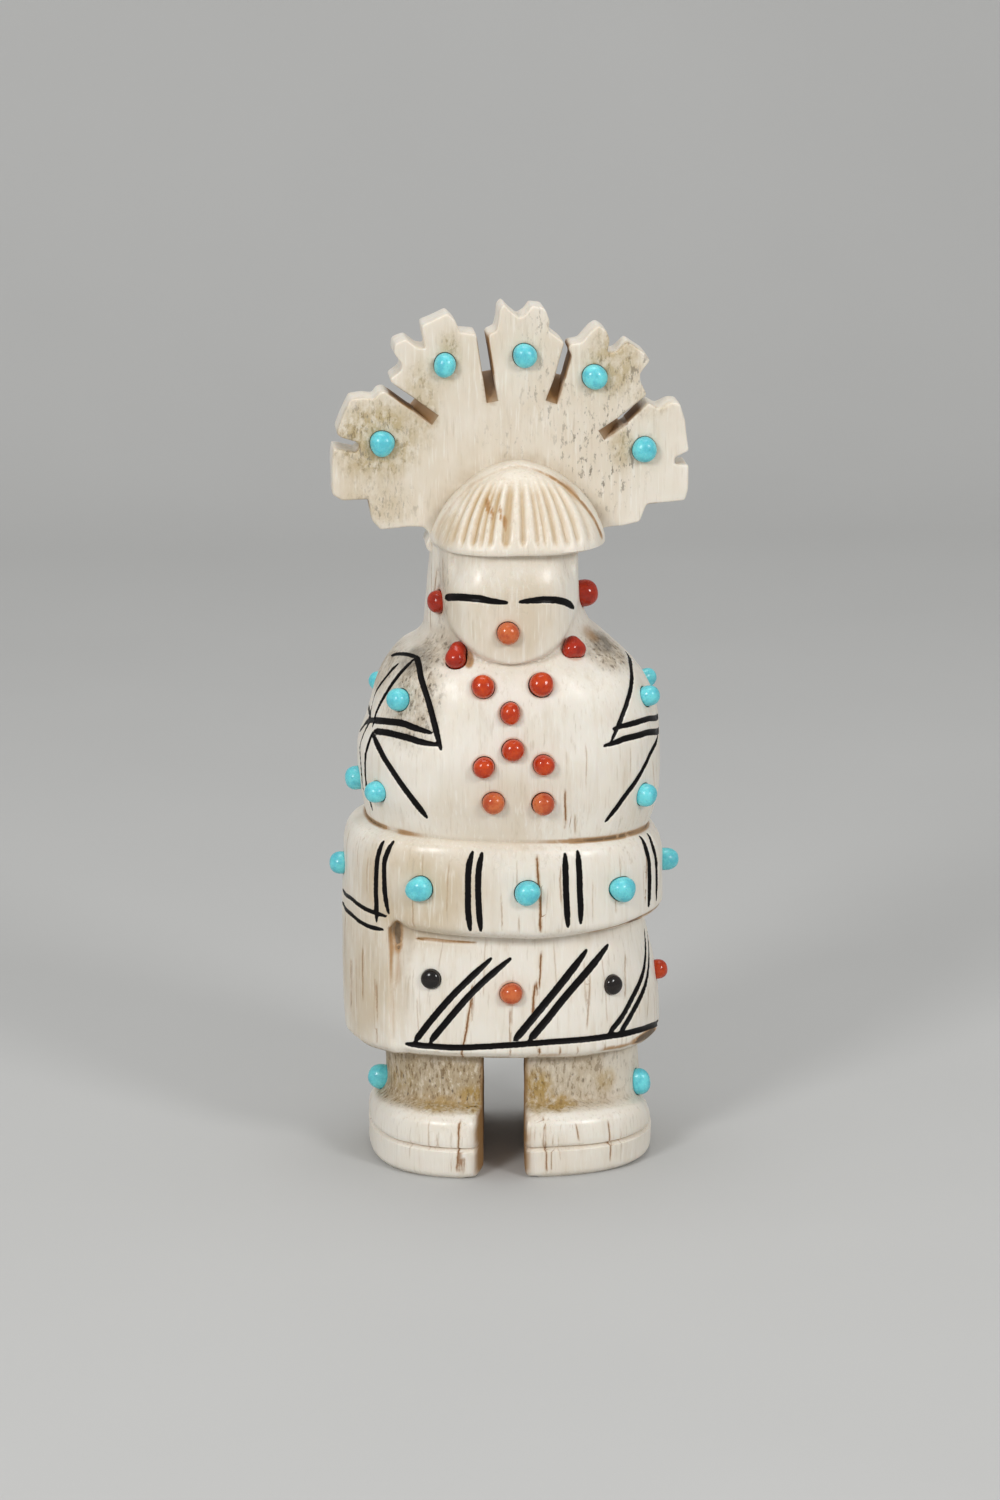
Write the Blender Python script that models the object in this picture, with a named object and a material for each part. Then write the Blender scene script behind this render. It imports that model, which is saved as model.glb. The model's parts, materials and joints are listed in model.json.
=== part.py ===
"""A maiden figure carved from one piece of antler, with a stepped headdress and inlaid stone beads.

Lengths are in millimetres, measured from the vertical axis of the antler, and become metres as each
mesh is made. +Z is up and the figure faces -Y. At the end everything moves so that the origin is on
the ground under the middle of the figure.
"""

import bmesh
import bpy
import numpy as np
from mathutils import Matrix, Vector

MM = 0.001
# Where the middle of the whole figure lies, from the axis of the antler.
FIGURE_MIDDLE = (0.4, -0.61, 0)

# The carved log from the soles up. Each row is a height, then how far the log reaches from its axis
# to the left (-X), right (+X), front (-Y) and back (+Y), and how square its section is.
LOG = np.array(
    [
        (0.0, 13.1, 14.1, 12.0, 9.5, 2.8),  # sole
        (0.6, 13.6, 14.8, 12.5, 10.0, 2.8),
        (2.8, 13.6, 14.9, 12.6, 10.1, 2.8),
        (3.1, 13.2, 14.4, 12.1, 9.7, 2.8),  # line between sole and moccasin
        (3.4, 13.6, 14.8, 12.5, 10.0, 2.8),
        (5.4, 13.5, 14.7, 12.3, 9.9, 2.8),
        (6.4, 13.1, 14.4, 11.5, 9.6, 2.8),  # edge of the toes
        (7.3, 12.2, 14.0, 9.3, 9.2, 2.8),  # instep
        (8.4, 11.8, 13.8, 9.1, 9.2, 2.8),
        (11.9, 12.0, 13.5, 9.1, 9.2, 2.8),
        (12.0, 15.2, 15.2, 11.4, 9.9, 2.4),  # underside of the hem
        (12.8, 16.0, 15.9, 12.0, 10.6, 2.4),
        (20.0, 16.2, 16.0, 12.1, 10.8, 2.4),
        (25.7, 16.1, 16.0, 12.2, 10.9, 2.4),  # belt
        (31.2, 16.0, 16.0, 12.1, 10.9, 2.4),
        (32.8, 15.7, 15.7, 11.9, 10.7, 2.4),
        (33.7, 15.1, 15.2, 11.6, 10.3, 2.4),
        (34.1, 14.3, 14.8, 11.1, 9.9, 2.4),
        (34.4, 13.8, 14.6, 10.8, 9.7, 2.4),  # crease over the belt
        (35.6, 14.0, 15.0, 11.0, 9.9, 2.4),
        (38.4, 14.5, 15.6, 11.4, 10.2, 2.4),  # elbows
        (41.5, 14.6, 15.7, 11.5, 10.2, 2.4),
        (44.3, 13.8, 15.5, 11.3, 10.0, 2.4),
        (46.9, 13.0, 14.9, 11.0, 9.6, 2.4),
        (48.6, 12.5, 14.2, 10.7, 9.2, 2.4),
        (50.0, 11.9, 13.2, 10.2, 8.7, 2.4),  # shoulders
        (51.1, 11.2, 12.1, 9.6, 8.3, 2.4),
        (52.1, 10.2, 11.0, 8.8, 7.7, 2.4),
        (53.1, 8.6, 9.9, 7.9, 7.1, 2.4),
        (54.2, 7.9, 8.7, 7.1, 6.8, 2.4),
        (56.0, 7.7, 7.9, 6.4, 6.5, 2.6),  # hair beside and behind the face
        (59.5, 7.4, 7.4, 6.2, 6.1, 2.6),
        (62.5, 7.2, 7.4, 6.2, 5.9, 2.6),
    ]
)
# Extra rings that follow the rounded lower edge of the belt and the hollow of the skirt under it.
SKIRT_RINGS = (16.5, 22.4, 24.4, 24.8)

# How much lower the cuts run for each millimetre to the right: the belt was carved a little aslant.
ASLANT_HEIGHTS = (0, 12, 24.4, 34.4, 46)
ASLANT = (0, 0.02, 0.07, 0.04, 0)
# The lower edge of the belt rises again towards the right side.
RISE_SIDES, RISES = (2, 7, 14, 16), (0, 0.6, 1.5, 1.7)
RISE_HEIGHTS, RISE_SHARES = (14, 24.4, 31), (0, 1, 0)

# The tops of the feet fall from the toes to the heels, more so on the right foot.
FALL_HEIGHTS = (3.4, 6.4, 7.3, 11.9)
FALL_SHARES = (0, 1, 1, 0)
FALL_LEFT, FALL_RIGHT, FOOT_SIDE = 1.5, 2.6, 13
FALL_START, FALL_LENGTH = -12, 16

# The skirt is cut back under the belt from the uncut flap on the left round to the right side.
CREASE, HEM = 24.4, 12.0
FLAP_EDGE, FLAP_EDGE_WIDTH = 218, 4
RECESS_END, RECESS_FADE = 400, 40
FRONT_RECESS, FRONT_FLARE, SIDE_FLARE = 1.1, 1.1, 2.1
FLARE_START = 14.0
BELT_EDGE = 1.3

# The face is a rounded block on the front of the head, ending in the chin.
FACE = dict(left=6.7, right=7.4, front=9.8, back=5.0, power=3.2)
CHEEK, CHIN_DROP = 57.5, 5.6
FACE_MIDDLE, FACE_HALF, FACE_EDGE = 0.2, 7.6, 1.1
FACE_RINGS = (51.9, 52.5, 53.7, 55.0, 57.5)

# The fringe of hair is a dome that runs up to the headdress, ribbed with flutes.
FRINGE_FOOT, FRINGE_BASE, FRINGE_RISE, FRINGE_POWER = 63.1, 62.6, 8.25, 1.7
FRINGE_MIDDLE, FRINGE_HALF, FRINGE_DEPTH = 1.3, 8.7, 8.8
FRINGE_SQUARENESS = 3.0
# Behind the plate the hair closes in a low dome; the top of the log ends inside the plate.
CORE_BACK = 2.2
NAPE_HEIGHTS, NAPE_DEPTHS = (62.5, 64.2, 65.6, 66.8), (5.9, 5.4, 4.3, 2.2)
NAPE_WIDER = 1.3
FLUTE = 0.16
FRINGE_RINGS = (63.1, 63.4, 65.0, 66.8, 68.3, 69.5, 70.3, 70.7)

# Columns of the log: every second one on the front is the valley of a flute.
FRONT_STEP, BACK_STEP = 5, 7.5

# The headdress plate, and the rim of each of its five stepped lobes as (degrees, radius) round a
# point behind the fringe. Chipped tips are kept as they are.
PLATE_FRONT, PLATE_BACK = -1.4, 3.0
HUB_X, HUB_Z = 0.55, 68.3
LOW_LEFT = (
    (220, 10.4), (216, 10.3), (212, 9.3), (206, 9.5), (202, 11.0), (198.8, 13.5), (194, 14.0),
    (185.2, 14.0), (184.7, 16.6), (182.5, 17.5), (171.3, 17.7), (167.5, 17.8), (167.6, 15.5),
    (165.2, 15.3), (163.6, 15.6), (163.5, 17.4), (162.5, 17.9), (154, 17.9), (151, 17.9),
    (148.5, 16.9), (147, 15.9), (144.2, 15.9), (142.5, 15.5), (141.9, 12.2),
)
HIGH_LEFT = (
    (136.7, 12.2), (138.4, 15.5), (137.8, 15.9), (133, 15.7), (131.3, 16.1), (131, 17.4),
    (128.7, 18.1), (125, 17.8), (123.5, 16.4), (121.2, 15.9), (119.9, 17.0), (118.6, 18.1),
    (109.6, 18.1), (108.1, 17.2), (107.9, 15.9), (102.3, 15.3), (103.9, 10.9),
)
MIDDLE = (
    (98.1, 10.9), (98.3, 15.0), (94.9, 15.3), (93.8, 16.4), (93.3, 17.4), (91.8, 17.9),
    (89.8, 17.2), (86.6, 16.5), (84.5, 17.0), (83.1, 17.8), (79, 17.8), (77.7, 17.3),
    (76.2, 16.6), (76.0, 15.7), (69.1, 15.0), (67.5, 11.5),
)
HIGH_RIGHT = (
    (62.0, 11.5), (64.2, 14.1), (66.7, 14.6), (66.7, 15.0), (63.3, 15.6), (62, 17.2),
    (60.8, 17.9), (58, 17.9), (55.2, 17.3), (53.3, 16.1), (51, 16.7), (50.4, 18.2), (44, 18.5),
    (41.1, 18.4), (40, 16.8), (38, 16.4), (32.7, 16.1), (31.3, 12.5),
)
LOW_RIGHT = (
    (26.2, 12.5), (29.8, 15.8), (26.3, 16.4), (26.2, 17.8), (24.8, 18.5), (19.1, 18.4),
    (9.6, 18.0), (8.3, 16.5), (5.9, 16.4), (5.3, 17.8), (-3, 17.7), (-6.4, 17.5), (-7.8, 15.6),
    (-9.4, 13.8), (-17.2, 13.5), (-21.5, 12.0), (-26, 10.4),
)
PLATE_FOOT = ((6.5, 61.5), (-6.3, 61.5))
# Each slot was sawn from the front with the blade tilted, so it ends in a ramp: the ramp's inner
# end, which shows on the front, and its outer end on the back, as (degrees, radius).
SLOT_RAMPS = (
    ((138.4, 9.8), (139.3, 12.2)),
    ((101.7, 8.4), (101.0, 10.9)),
    ((63.2, 9.1), (64.8, 11.5)),
    ((27.6, 10.2), (28.7, 12.5)),
)
SLOT_WIDTH = 1.1

# Plan of the saw cut between the legs, which ran a little aslant and opens towards the toes.
GAP_PLAN = ((-4.3, -14), (1.1, -14), (1.35, -9), (3.3, 12), (-0.9, 12), (-2.8, -9))
GAP_BOTTOM, GAP_TOP = -1, 12.2

# Beads are short pegs with domed heads, glued in drilled sockets.
SIDES = 8
SOCKET_DEPTH, SOCKET_CLEARS, GLUE = 0.8, 1.0, 0.05
HEAD_HEIGHT = {"turquoise": 1.45, "coral": 1.3, "jet": 0.8}
HIGHER = {"left_leg": 0.45, "belt_5": 0.3, "right_ear": 0.5}
SHOULDER_HEIGHTS, SHOULDER_RADII = (0.35, 0.78), (1.0, 0.7)
# A bead on the log is (name, degrees round the axis, height, radius), with 270 degrees in front.
LOG_BEADS = {
    "turquoise": (
        ("left_arm_1", 157, 47.0, 1.0), ("left_arm_2", 212.5, 48.0, 1.15),
        ("left_arm_3", 183, 38.3, 1.2), ("left_arm_4", 206.1, 38.3, 1.1),
        ("right_arm_1", 11.5, 47.3, 0.95), ("right_arm_2", 340.2, 47.4, 1.05),
        ("right_arm_3", 14.5, 37.1, 1.0), ("right_arm_4", 332.2, 38.3, 1.1),
        ("belt_1", 180, 28.8, 1.15), ("belt_2", 229.5, 29.3, 1.3), ("belt_3", 276.2, 29.6, 1.25),
        ("belt_4", 317.8, 29.4, 1.3), ("belt_5", 358, 30.1, 1.15), ("belt_6", 42, 29.6, 1.2),
        ("belt_7", 90, 29.4, 1.2), ("belt_8", 138, 29.2, 1.2),
        ("left_leg", 178, 8.0, 1.2), ("right_leg", 342, 8.5, 1.2),
    ),
    "coral": (
        ("face", 267.8, 55.2, 1.1), ("left_ear", 211.5, 57.2, 1.15), ("right_ear", 348, 57.2, 1.35),
        ("neck_1", 235.9, 52.4, 1.2), ("neck_2", 311.6, 52.8, 1.15), ("chest_1", 254.3, 49.9, 1.15),
        ("chest_2", 285.8, 50.0, 1.2), ("chest_3", 268.6, 47.4, 1.05), ("chest_4", 269.9, 43.8, 1.1),
        ("chest_5", 255.8, 42.1, 1.05), ("chest_6", 284.7, 42.3, 1.05),
        ("chest_7", 260.3, 38.5, 1.1), ("chest_8", 284.6, 38.4, 1.1),
        ("skirt_1", 269.3, 18.8, 1.1), ("skirt_2", 359, 17.9, 1.0), ("skirt_3", 90, 18.6, 1.0),
    ),
    "jet": (
        ("skirt_1", 230.4, 19.8, 1.0), ("skirt_2", 319.1, 18.9, 1.0),
        ("skirt_3", 50, 18.8, 1.0), ("skirt_4", 130, 18.8, 1.0),
    ),
}
# A bead on the headdress is (name, degrees round the hub, distance from the hub, radius).
PLATE_BEADS = (
    ("headdress_1", 161.1, 13.3, 1.25),
    ("headdress_2", 118.1, 13.6, 1.15),
    ("headdress_3", 83.5, 12.9, 1.2),
    ("headdress_4", 51.8, 13.5, 1.25),
    ("headdress_5", 13.9, 13.7, 1.25),
)

# Base colour, roughness.
FINISHES = {
    "antler": ((0.80, 0.74, 0.62), 0.35),
    "turquoise": ((0.12, 0.52, 0.62), 0.22),
    "coral": ((0.60, 0.06, 0.03), 0.15),
    "jet": ((0.02, 0.014, 0.012), 0.12),
}


def clear_scene():
    for old in list(bpy.data.objects):
        bpy.data.objects.remove(old, do_unlink=True)


def smooth_step(x):
    x = np.clip(x, 0, 1)
    return x * x * (3 - 2 * x)


def oval(angle, left, right, front, back, power):
    """Polar radius of an oval whose four quarters are superellipses, each with its own half-axes."""
    across, along = np.cos(angle), np.sin(angle)
    width = np.where(across < 0, left, right)
    depth = np.where(along < 0, front, back)
    return (np.abs(across / width) ** power + np.abs(along / depth) ** power) ** (-1 / power)


def skirt_recess(angle, height):
    """How far the skirt is cut back: deepest in the crease, less towards the hem."""
    turn = np.degrees(angle) % 360
    turn = np.where(turn < FLAP_EDGE - 180, turn + 360, turn)
    inside = smooth_step((turn - FLAP_EDGE) / FLAP_EDGE_WIDTH + 0.5)
    inside = inside * smooth_step((RECESS_END - turn) / RECESS_FADE)
    facing = np.clip(-np.sin(angle), 0, 1) ** 0.7
    flare = np.clip((height - FLARE_START) / (CREASE - FLARE_START), 0, 1) ** 1.5
    amount = facing * FRONT_RECESS + (facing * FRONT_FLARE + (1 - facing) * SIDE_FLARE) * flare
    under_belt = np.clip((height - CREASE) / BELT_EDGE, 0, 1)
    roundness = 1 - np.sqrt(1 - (1 - under_belt) ** 2)
    return np.where(height < HEM - 0.05, 0, amount * inside * roundness)


def face_radius(angle, height, behind):
    """Where the face block stands out of the head. `behind` is the radius without it."""
    block = oval(angle, **FACE)
    drop = np.clip((CHEEK - height) / CHIN_DROP, 0, 1)
    half = FACE_HALF * (1 - drop**2.2) ** (1 / 2.2)
    inside = smooth_step((half - np.abs(block * np.cos(angle) - FACE_MIDDLE)) / FACE_EDGE)
    inside = np.where((height > CHEEK - CHIN_DROP) & (height < FRINGE_FOOT), inside, 0)
    return np.where(np.sin(angle) < 0, behind + np.maximum(block - behind, 0) * inside, behind)


def fringe_radius(angle, height):
    """The dome of hair, fluted in front. Behind the plate it shrinks to the back of the head."""
    rise = np.clip((height - FRINGE_BASE) / FRINGE_RISE, 0, 0.995)
    size = (1 - rise**FRINGE_POWER) ** (1 / FRINGE_POWER)
    left = np.maximum(FRINGE_HALF * size - FRINGE_MIDDLE, 0.4)
    right = FRINGE_HALF * size + FRINGE_MIDDLE
    front = FRINGE_DEPTH * size - PLATE_FRONT
    dome = oval(angle, left, right, front, CORE_BACK, FRINGE_SQUARENESS)
    flutes = np.cos(angle * 180 / FRONT_STEP) * (np.sin(angle) < -0.05)
    dome = dome + FLUTE * np.clip(size * 1.6 - 0.4, 0, 1) * flutes
    nape = np.interp(height, NAPE_HEIGHTS, NAPE_DEPTHS)
    hair = oval(angle, nape + NAPE_WIDER, nape + NAPE_WIDER, nape, nape, FRINGE_SQUARENESS)
    return np.where(np.sin(angle) > 0.01, np.where(nape > CORE_BACK, hair, dome), dome)


def carved_radius(angle, height):
    """Distance of the carved surface from the vertical axis."""
    left, right, front, back, power = (np.interp(height, LOG[:, 0], LOG[:, i]) for i in range(1, 6))
    radius = oval(angle, left, right, front, back, power) - skirt_recess(angle, height)
    radius = face_radius(angle, height, radius)
    return np.where(height < FRINGE_FOOT, radius, fringe_radius(angle, height))


def foot_fall(x, y, height):
    """How much lower the top of a foot lies towards its heel."""
    deepest = np.interp(x, (-FOOT_SIDE, FOOT_SIDE), (FALL_LEFT, FALL_RIGHT))
    along = smooth_step((y - FALL_START) / FALL_LENGTH)
    return deepest * along * np.interp(height, FALL_HEIGHTS, FALL_SHARES)


def belt_rise(x, height):
    """How much higher the lower edge of the belt lies towards the right."""
    return np.interp(x, RISE_SIDES, RISES) * np.interp(height, RISE_HEIGHTS, RISE_SHARES)


def surface(angle, height):
    """Points of the carved surface, with the slant of the cuts, the belt's rise and the fall of the feet."""
    angle, height = np.broadcast_arrays(angle, height)
    radius = carved_radius(angle, height)
    x, y = radius * np.cos(angle), radius * np.sin(angle)
    lower = np.interp(height, ASLANT_HEIGHTS, ASLANT) * x + foot_fall(x, y, height)
    return np.stack([x, y, height - lower + belt_rise(x, height)], axis=-1)


def mesh_object(name, points, faces):
    mesh = bpy.data.meshes.new(name)
    mesh.from_pydata((np.asarray(points, float) * MM).tolist(), [], faces)
    mesh.update()
    made = bpy.data.objects.new(name, mesh)
    bpy.context.scene.collection.objects.link(made)
    return made


def outward(made):
    shape = bmesh.new()
    shape.from_mesh(made.data)
    bmesh.ops.recalc_face_normals(shape, faces=shape.faces)
    shape.to_mesh(made.data)
    shape.free()
    return made


def carved_log():
    """Rings at the heights where the profile turns, joined by quads and capped."""
    degrees = np.concatenate([np.arange(0, 180, BACK_STEP), np.arange(180, 360, FRONT_STEP)])
    heights = np.sort(np.concatenate([LOG[:, 0], SKIRT_RINGS, FACE_RINGS, FRINGE_RINGS]))
    points = surface(np.radians(degrees)[None, :], heights[:, None])
    rings, columns = points.shape[:2]
    index = np.arange(rings * columns).reshape(rings, columns)
    after = np.roll(index, -1, axis=1)
    sides = np.stack([index[:-1], after[:-1], after[1:], index[1:]], axis=-1).reshape(-1, 4)
    faces = sides.tolist() + [index[0, ::-1].tolist(), index[-1].tolist()]
    return mesh_object("antler_carving", points.reshape(-1, 3), faces)


def prism(name, outline, start, end, axis):
    """An outline carried straight along Y or Z."""
    count = len(outline)
    place = {"Y": lambda u, v, w: (u, w, v), "Z": lambda u, v, w: (u, v, w)}[axis]
    points = [place(u, v, w) for w in (start, end) for u, v in outline]
    faces = [list(range(count)), list(range(2 * count - 1, count - 1, -1))]
    for i in range(count):
        j = (i + 1) % count
        faces.append([i, i + count, j + count, j])
    return outward(mesh_object(name, points, faces))


def around_hub(degrees, radius):
    angle = np.radians(degrees)
    return HUB_X + radius * np.cos(angle), HUB_Z + radius * np.sin(angle)


def headdress_plate():
    lobes = (LOW_LEFT, HIGH_LEFT, MIDDLE, HIGH_RIGHT, LOW_RIGHT)
    rim = [around_hub(*corner) for lobe in lobes for corner in lobe]
    return prism("headdress_plate", rim + list(PLATE_FOOT), PLATE_FRONT, PLATE_BACK, "Y")


def slot_ramp(number, inner, outer):
    """A wedge whose slanted floor runs from the front of the plate to its back."""
    inner, outer = Vector(around_hub(*inner)), Vector(around_hub(*outer))
    along = (outer - inner).normalized()
    across = Vector((-along.y, along.x)) * SLOT_WIDTH / 2
    beyond = outer + along * SLOT_WIDTH / 2
    floor = PLATE_BACK + (PLATE_BACK - PLATE_FRONT) * SLOT_WIDTH / 2 / (outer - inner).length
    profile = (
        (inner, PLATE_FRONT - SLOT_WIDTH),
        (beyond, PLATE_FRONT - SLOT_WIDTH),
        (beyond, floor),
        (inner, PLATE_FRONT),
    )
    points = [
        ((at + side).x, y, (at + side).y) for side in (-across, across) for at, y in profile
    ]
    faces = [[0, 1, 2, 3], [7, 6, 5, 4]] + [[i, i + 4, (i + 1) % 4 + 4, (i + 1) % 4] for i in range(4)]
    return outward(mesh_object(f"slot_ramp_{number}", points, faces))


def seat_on_log(degrees, height):
    """A frame on the carved surface, with Z pointing straight out of it."""
    step = 0.02
    angle = np.radians(degrees)
    point, round_it, up_it = surface(
        np.array([angle, angle + step, angle]), np.array([height, height, height + step])
    )
    before_round, before_up = surface(np.array([angle - step, angle]), np.array([height, height - step]))
    out = Vector(np.cross(round_it - before_round, up_it - before_up)).normalized()
    return Matrix.Translation(Vector(point)) @ out.to_track_quat("Z", "Y").to_matrix().to_4x4()


def seat_on_plate(degrees, distance):
    x, z = around_hub(degrees, distance)
    facing = Vector((0, -1, 0)).to_track_quat("Z", "Y").to_matrix().to_4x4()
    return Matrix.Translation((x, PLATE_FRONT, z)) @ facing


def rings_to_mesh(rings, tip=None):
    """Points and faces of a stack of (radius, height) rings, closed flat below and at the tip."""
    turn = 2 * np.pi * np.arange(SIDES) / SIDES
    points = [(r * np.cos(t), r * np.sin(t), z) for r, z in rings for t in turn]
    faces = [list(range(SIDES - 1, -1, -1))]
    for ring in range(len(rings) - 1):
        for i in range(SIDES):
            low, after = ring * SIDES + i, ring * SIDES + (i + 1) % SIDES
            faces.append([low, after, after + SIDES, low + SIDES])
    top = (len(rings) - 1) * SIDES
    if tip is None:
        return points, faces + [list(range(top, top + SIDES))]
    faces += [[top + i, top + (i + 1) % SIDES, len(points)] for i in range(SIDES)]
    return points + [(0, 0, tip)], faces


def bead(name, stone, seat, radius):
    height = HEAD_HEIGHT[stone] + HIGHER.get(name, 0)
    rings = [(radius, GLUE - SOCKET_DEPTH)]
    rings += [(radius * r, height * h) for r, h in zip(SHOULDER_RADII, SHOULDER_HEIGHTS)]
    made = mesh_object(f"{stone}_{name}", *rings_to_mesh(rings, height))
    made.matrix_world = Matrix.LocRotScale(seat.to_translation() * MM, seat.to_quaternion(), None)
    made.data.shade_smooth()
    return made


def socket_cutters(seats):
    """One cutter for all the drilled holes."""
    points, faces = [], []
    for seat, radius in seats:
        hole = [(radius + GLUE, -SOCKET_DEPTH), (radius + GLUE, SOCKET_CLEARS)]
        corners, sides = rings_to_mesh(hole)
        faces += [[i + len(points) for i in side] for side in sides]
        points += [tuple(seat @ Vector(corner)) for corner in corners]
    return mesh_object("sockets", points, faces)


def combine(target, operation, other):
    step = target.modifiers.new(other.name, "BOOLEAN")
    step.operation, step.solver, step.object = operation, "EXACT", other
    other.hide_render, other.display_type = True, "WIRE"


def finish(made, name):
    colour, roughness = FINISHES[name]
    material = bpy.data.materials.get(name)
    if material is None:
        material = bpy.data.materials.new(name)
        material.use_nodes = True
        shader = material.node_tree.nodes["Principled BSDF"]
        shader.inputs["Base Color"].default_value = (*colour, 1)
        shader.inputs["Roughness"].default_value = roughness
        shader.inputs["Metallic"].default_value = 0
    made.data.materials.append(material)


def main():
    clear_scene()
    carving = carved_log()
    combine(carving, "UNION", headdress_plate())
    combine(carving, "DIFFERENCE", prism("leg_gap", GAP_PLAN, GAP_BOTTOM, GAP_TOP, "Z"))
    for number, ends in enumerate(SLOT_RAMPS, 1):
        combine(carving, "DIFFERENCE", slot_ramp(number, *ends))
    finish(carving, "antler")

    seats = []
    for stone, beads in LOG_BEADS.items():
        for name, degrees, height, radius in beads:
            seats.append((name, stone, seat_on_log(degrees, height), radius))
    for name, degrees, distance, radius in PLATE_BEADS:
        seats.append((name, "turquoise", seat_on_plate(degrees, distance), radius))
    for name, stone, seat, radius in seats:
        finish(bead(name, stone, seat, radius), stone)
    combine(carving, "DIFFERENCE", socket_cutters([(seat, radius) for _, _, seat, radius in seats]))

    to_origin = Matrix.Translation(Vector(FIGURE_MIDDLE) * -MM)
    for placed in bpy.context.scene.objects:
        placed.matrix_world = to_origin @ placed.matrix_world


main()
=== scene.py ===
# %% [markdown]
# # A maiden figure carved from antler
#
# The real figure was ground and filed out of one length of deer antler, between eight and nine
# centimetres tall. Black lines were cut into it with a small wheel and filled with ink, holes were
# drilled, and a polished stone bead was glued into each. Here the CAD model gives every place and
# size, and this script gives the surface: worn edges, cuts, cracks, pores, stains and polish.
#
# First the imported model is loaded.

# %% Load the frame
import json

import bmesh
import bpy
import numpy as np
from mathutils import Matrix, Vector

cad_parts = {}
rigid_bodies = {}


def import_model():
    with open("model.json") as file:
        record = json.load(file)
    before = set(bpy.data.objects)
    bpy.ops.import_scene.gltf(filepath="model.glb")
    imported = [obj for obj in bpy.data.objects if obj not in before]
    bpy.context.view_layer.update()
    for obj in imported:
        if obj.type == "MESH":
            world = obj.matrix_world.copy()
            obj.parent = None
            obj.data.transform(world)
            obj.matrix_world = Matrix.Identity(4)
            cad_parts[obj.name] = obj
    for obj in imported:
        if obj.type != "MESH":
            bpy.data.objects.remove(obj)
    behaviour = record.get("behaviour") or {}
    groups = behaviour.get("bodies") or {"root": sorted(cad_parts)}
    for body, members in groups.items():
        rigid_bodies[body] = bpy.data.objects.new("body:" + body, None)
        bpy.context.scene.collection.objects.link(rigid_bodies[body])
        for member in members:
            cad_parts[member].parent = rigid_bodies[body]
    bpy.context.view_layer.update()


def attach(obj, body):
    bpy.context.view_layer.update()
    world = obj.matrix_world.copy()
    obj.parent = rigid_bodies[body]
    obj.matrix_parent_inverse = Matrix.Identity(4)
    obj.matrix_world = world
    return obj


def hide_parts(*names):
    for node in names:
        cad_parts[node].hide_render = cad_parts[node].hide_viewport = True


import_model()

# %% [markdown]
# ## Millimetres, and a grid made into a mesh
#
# Lengths are easier to read in millimetres, so every shape is worked out in them, measured from the
# vertical axis of the antler. One helper turns them into metres and moves them to the frame, where
# the origin is under the middle of the figure. Nearly every piece is a grid of points, with one row
# after another, and each row closes on itself.

# %% Grid to mesh
MM = 0.001
MIDDLE = np.array([0.4, -0.61, 0])


def mesh_object(name, points, faces):
    """Millimetres from the antler's axis become metres in the frame: take the middle off, times 0.001."""
    mesh = bpy.data.meshes.new(name)
    mesh.from_pydata((np.asarray(points, float) - MIDDLE) * MM, [], faces)
    mesh.update()
    made = bpy.data.objects.new(name, mesh)
    bpy.context.scene.collection.objects.link(made)
    return made


def ring_faces(rows, columns):
    """Quads between row i and row i + 1, the last column joined to the first, and a cap at each end."""
    index = np.arange(rows * columns).reshape(rows, columns)
    after = np.roll(index, -1, axis=1)
    sides = np.stack([index[:-1], after[:-1], after[1:], index[1:]], axis=-1).reshape(-1, 4)
    return sides.tolist() + [index[0, ::-1].tolist(), index[-1].tolist()]


def tube(name, grid):
    """A closed skin from a grid of points: rows run up, columns run round to the left."""
    return mesh_object(name, grid.reshape(-1, 3), ring_faces(*grid.shape[:2]))


def smooth_step(x):
    """0 below 0, 1 above 1, and 3x^2 - 2x^3 between."""
    x = np.clip(x, 0, 1)
    return x * x * (3 - 2 * x)


# %% [markdown]
# ## The profile of the antler
#
# A carver leaves few straight lines. The CAD model joins its stations by straight lines; here the same
# stations are joined by a cubic that never swings past them, so a crease stays a crease and a bulge
# stays a bulge. Each row is a height, how far the log reaches left, right, front and back, and how
# square its section is.

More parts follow.
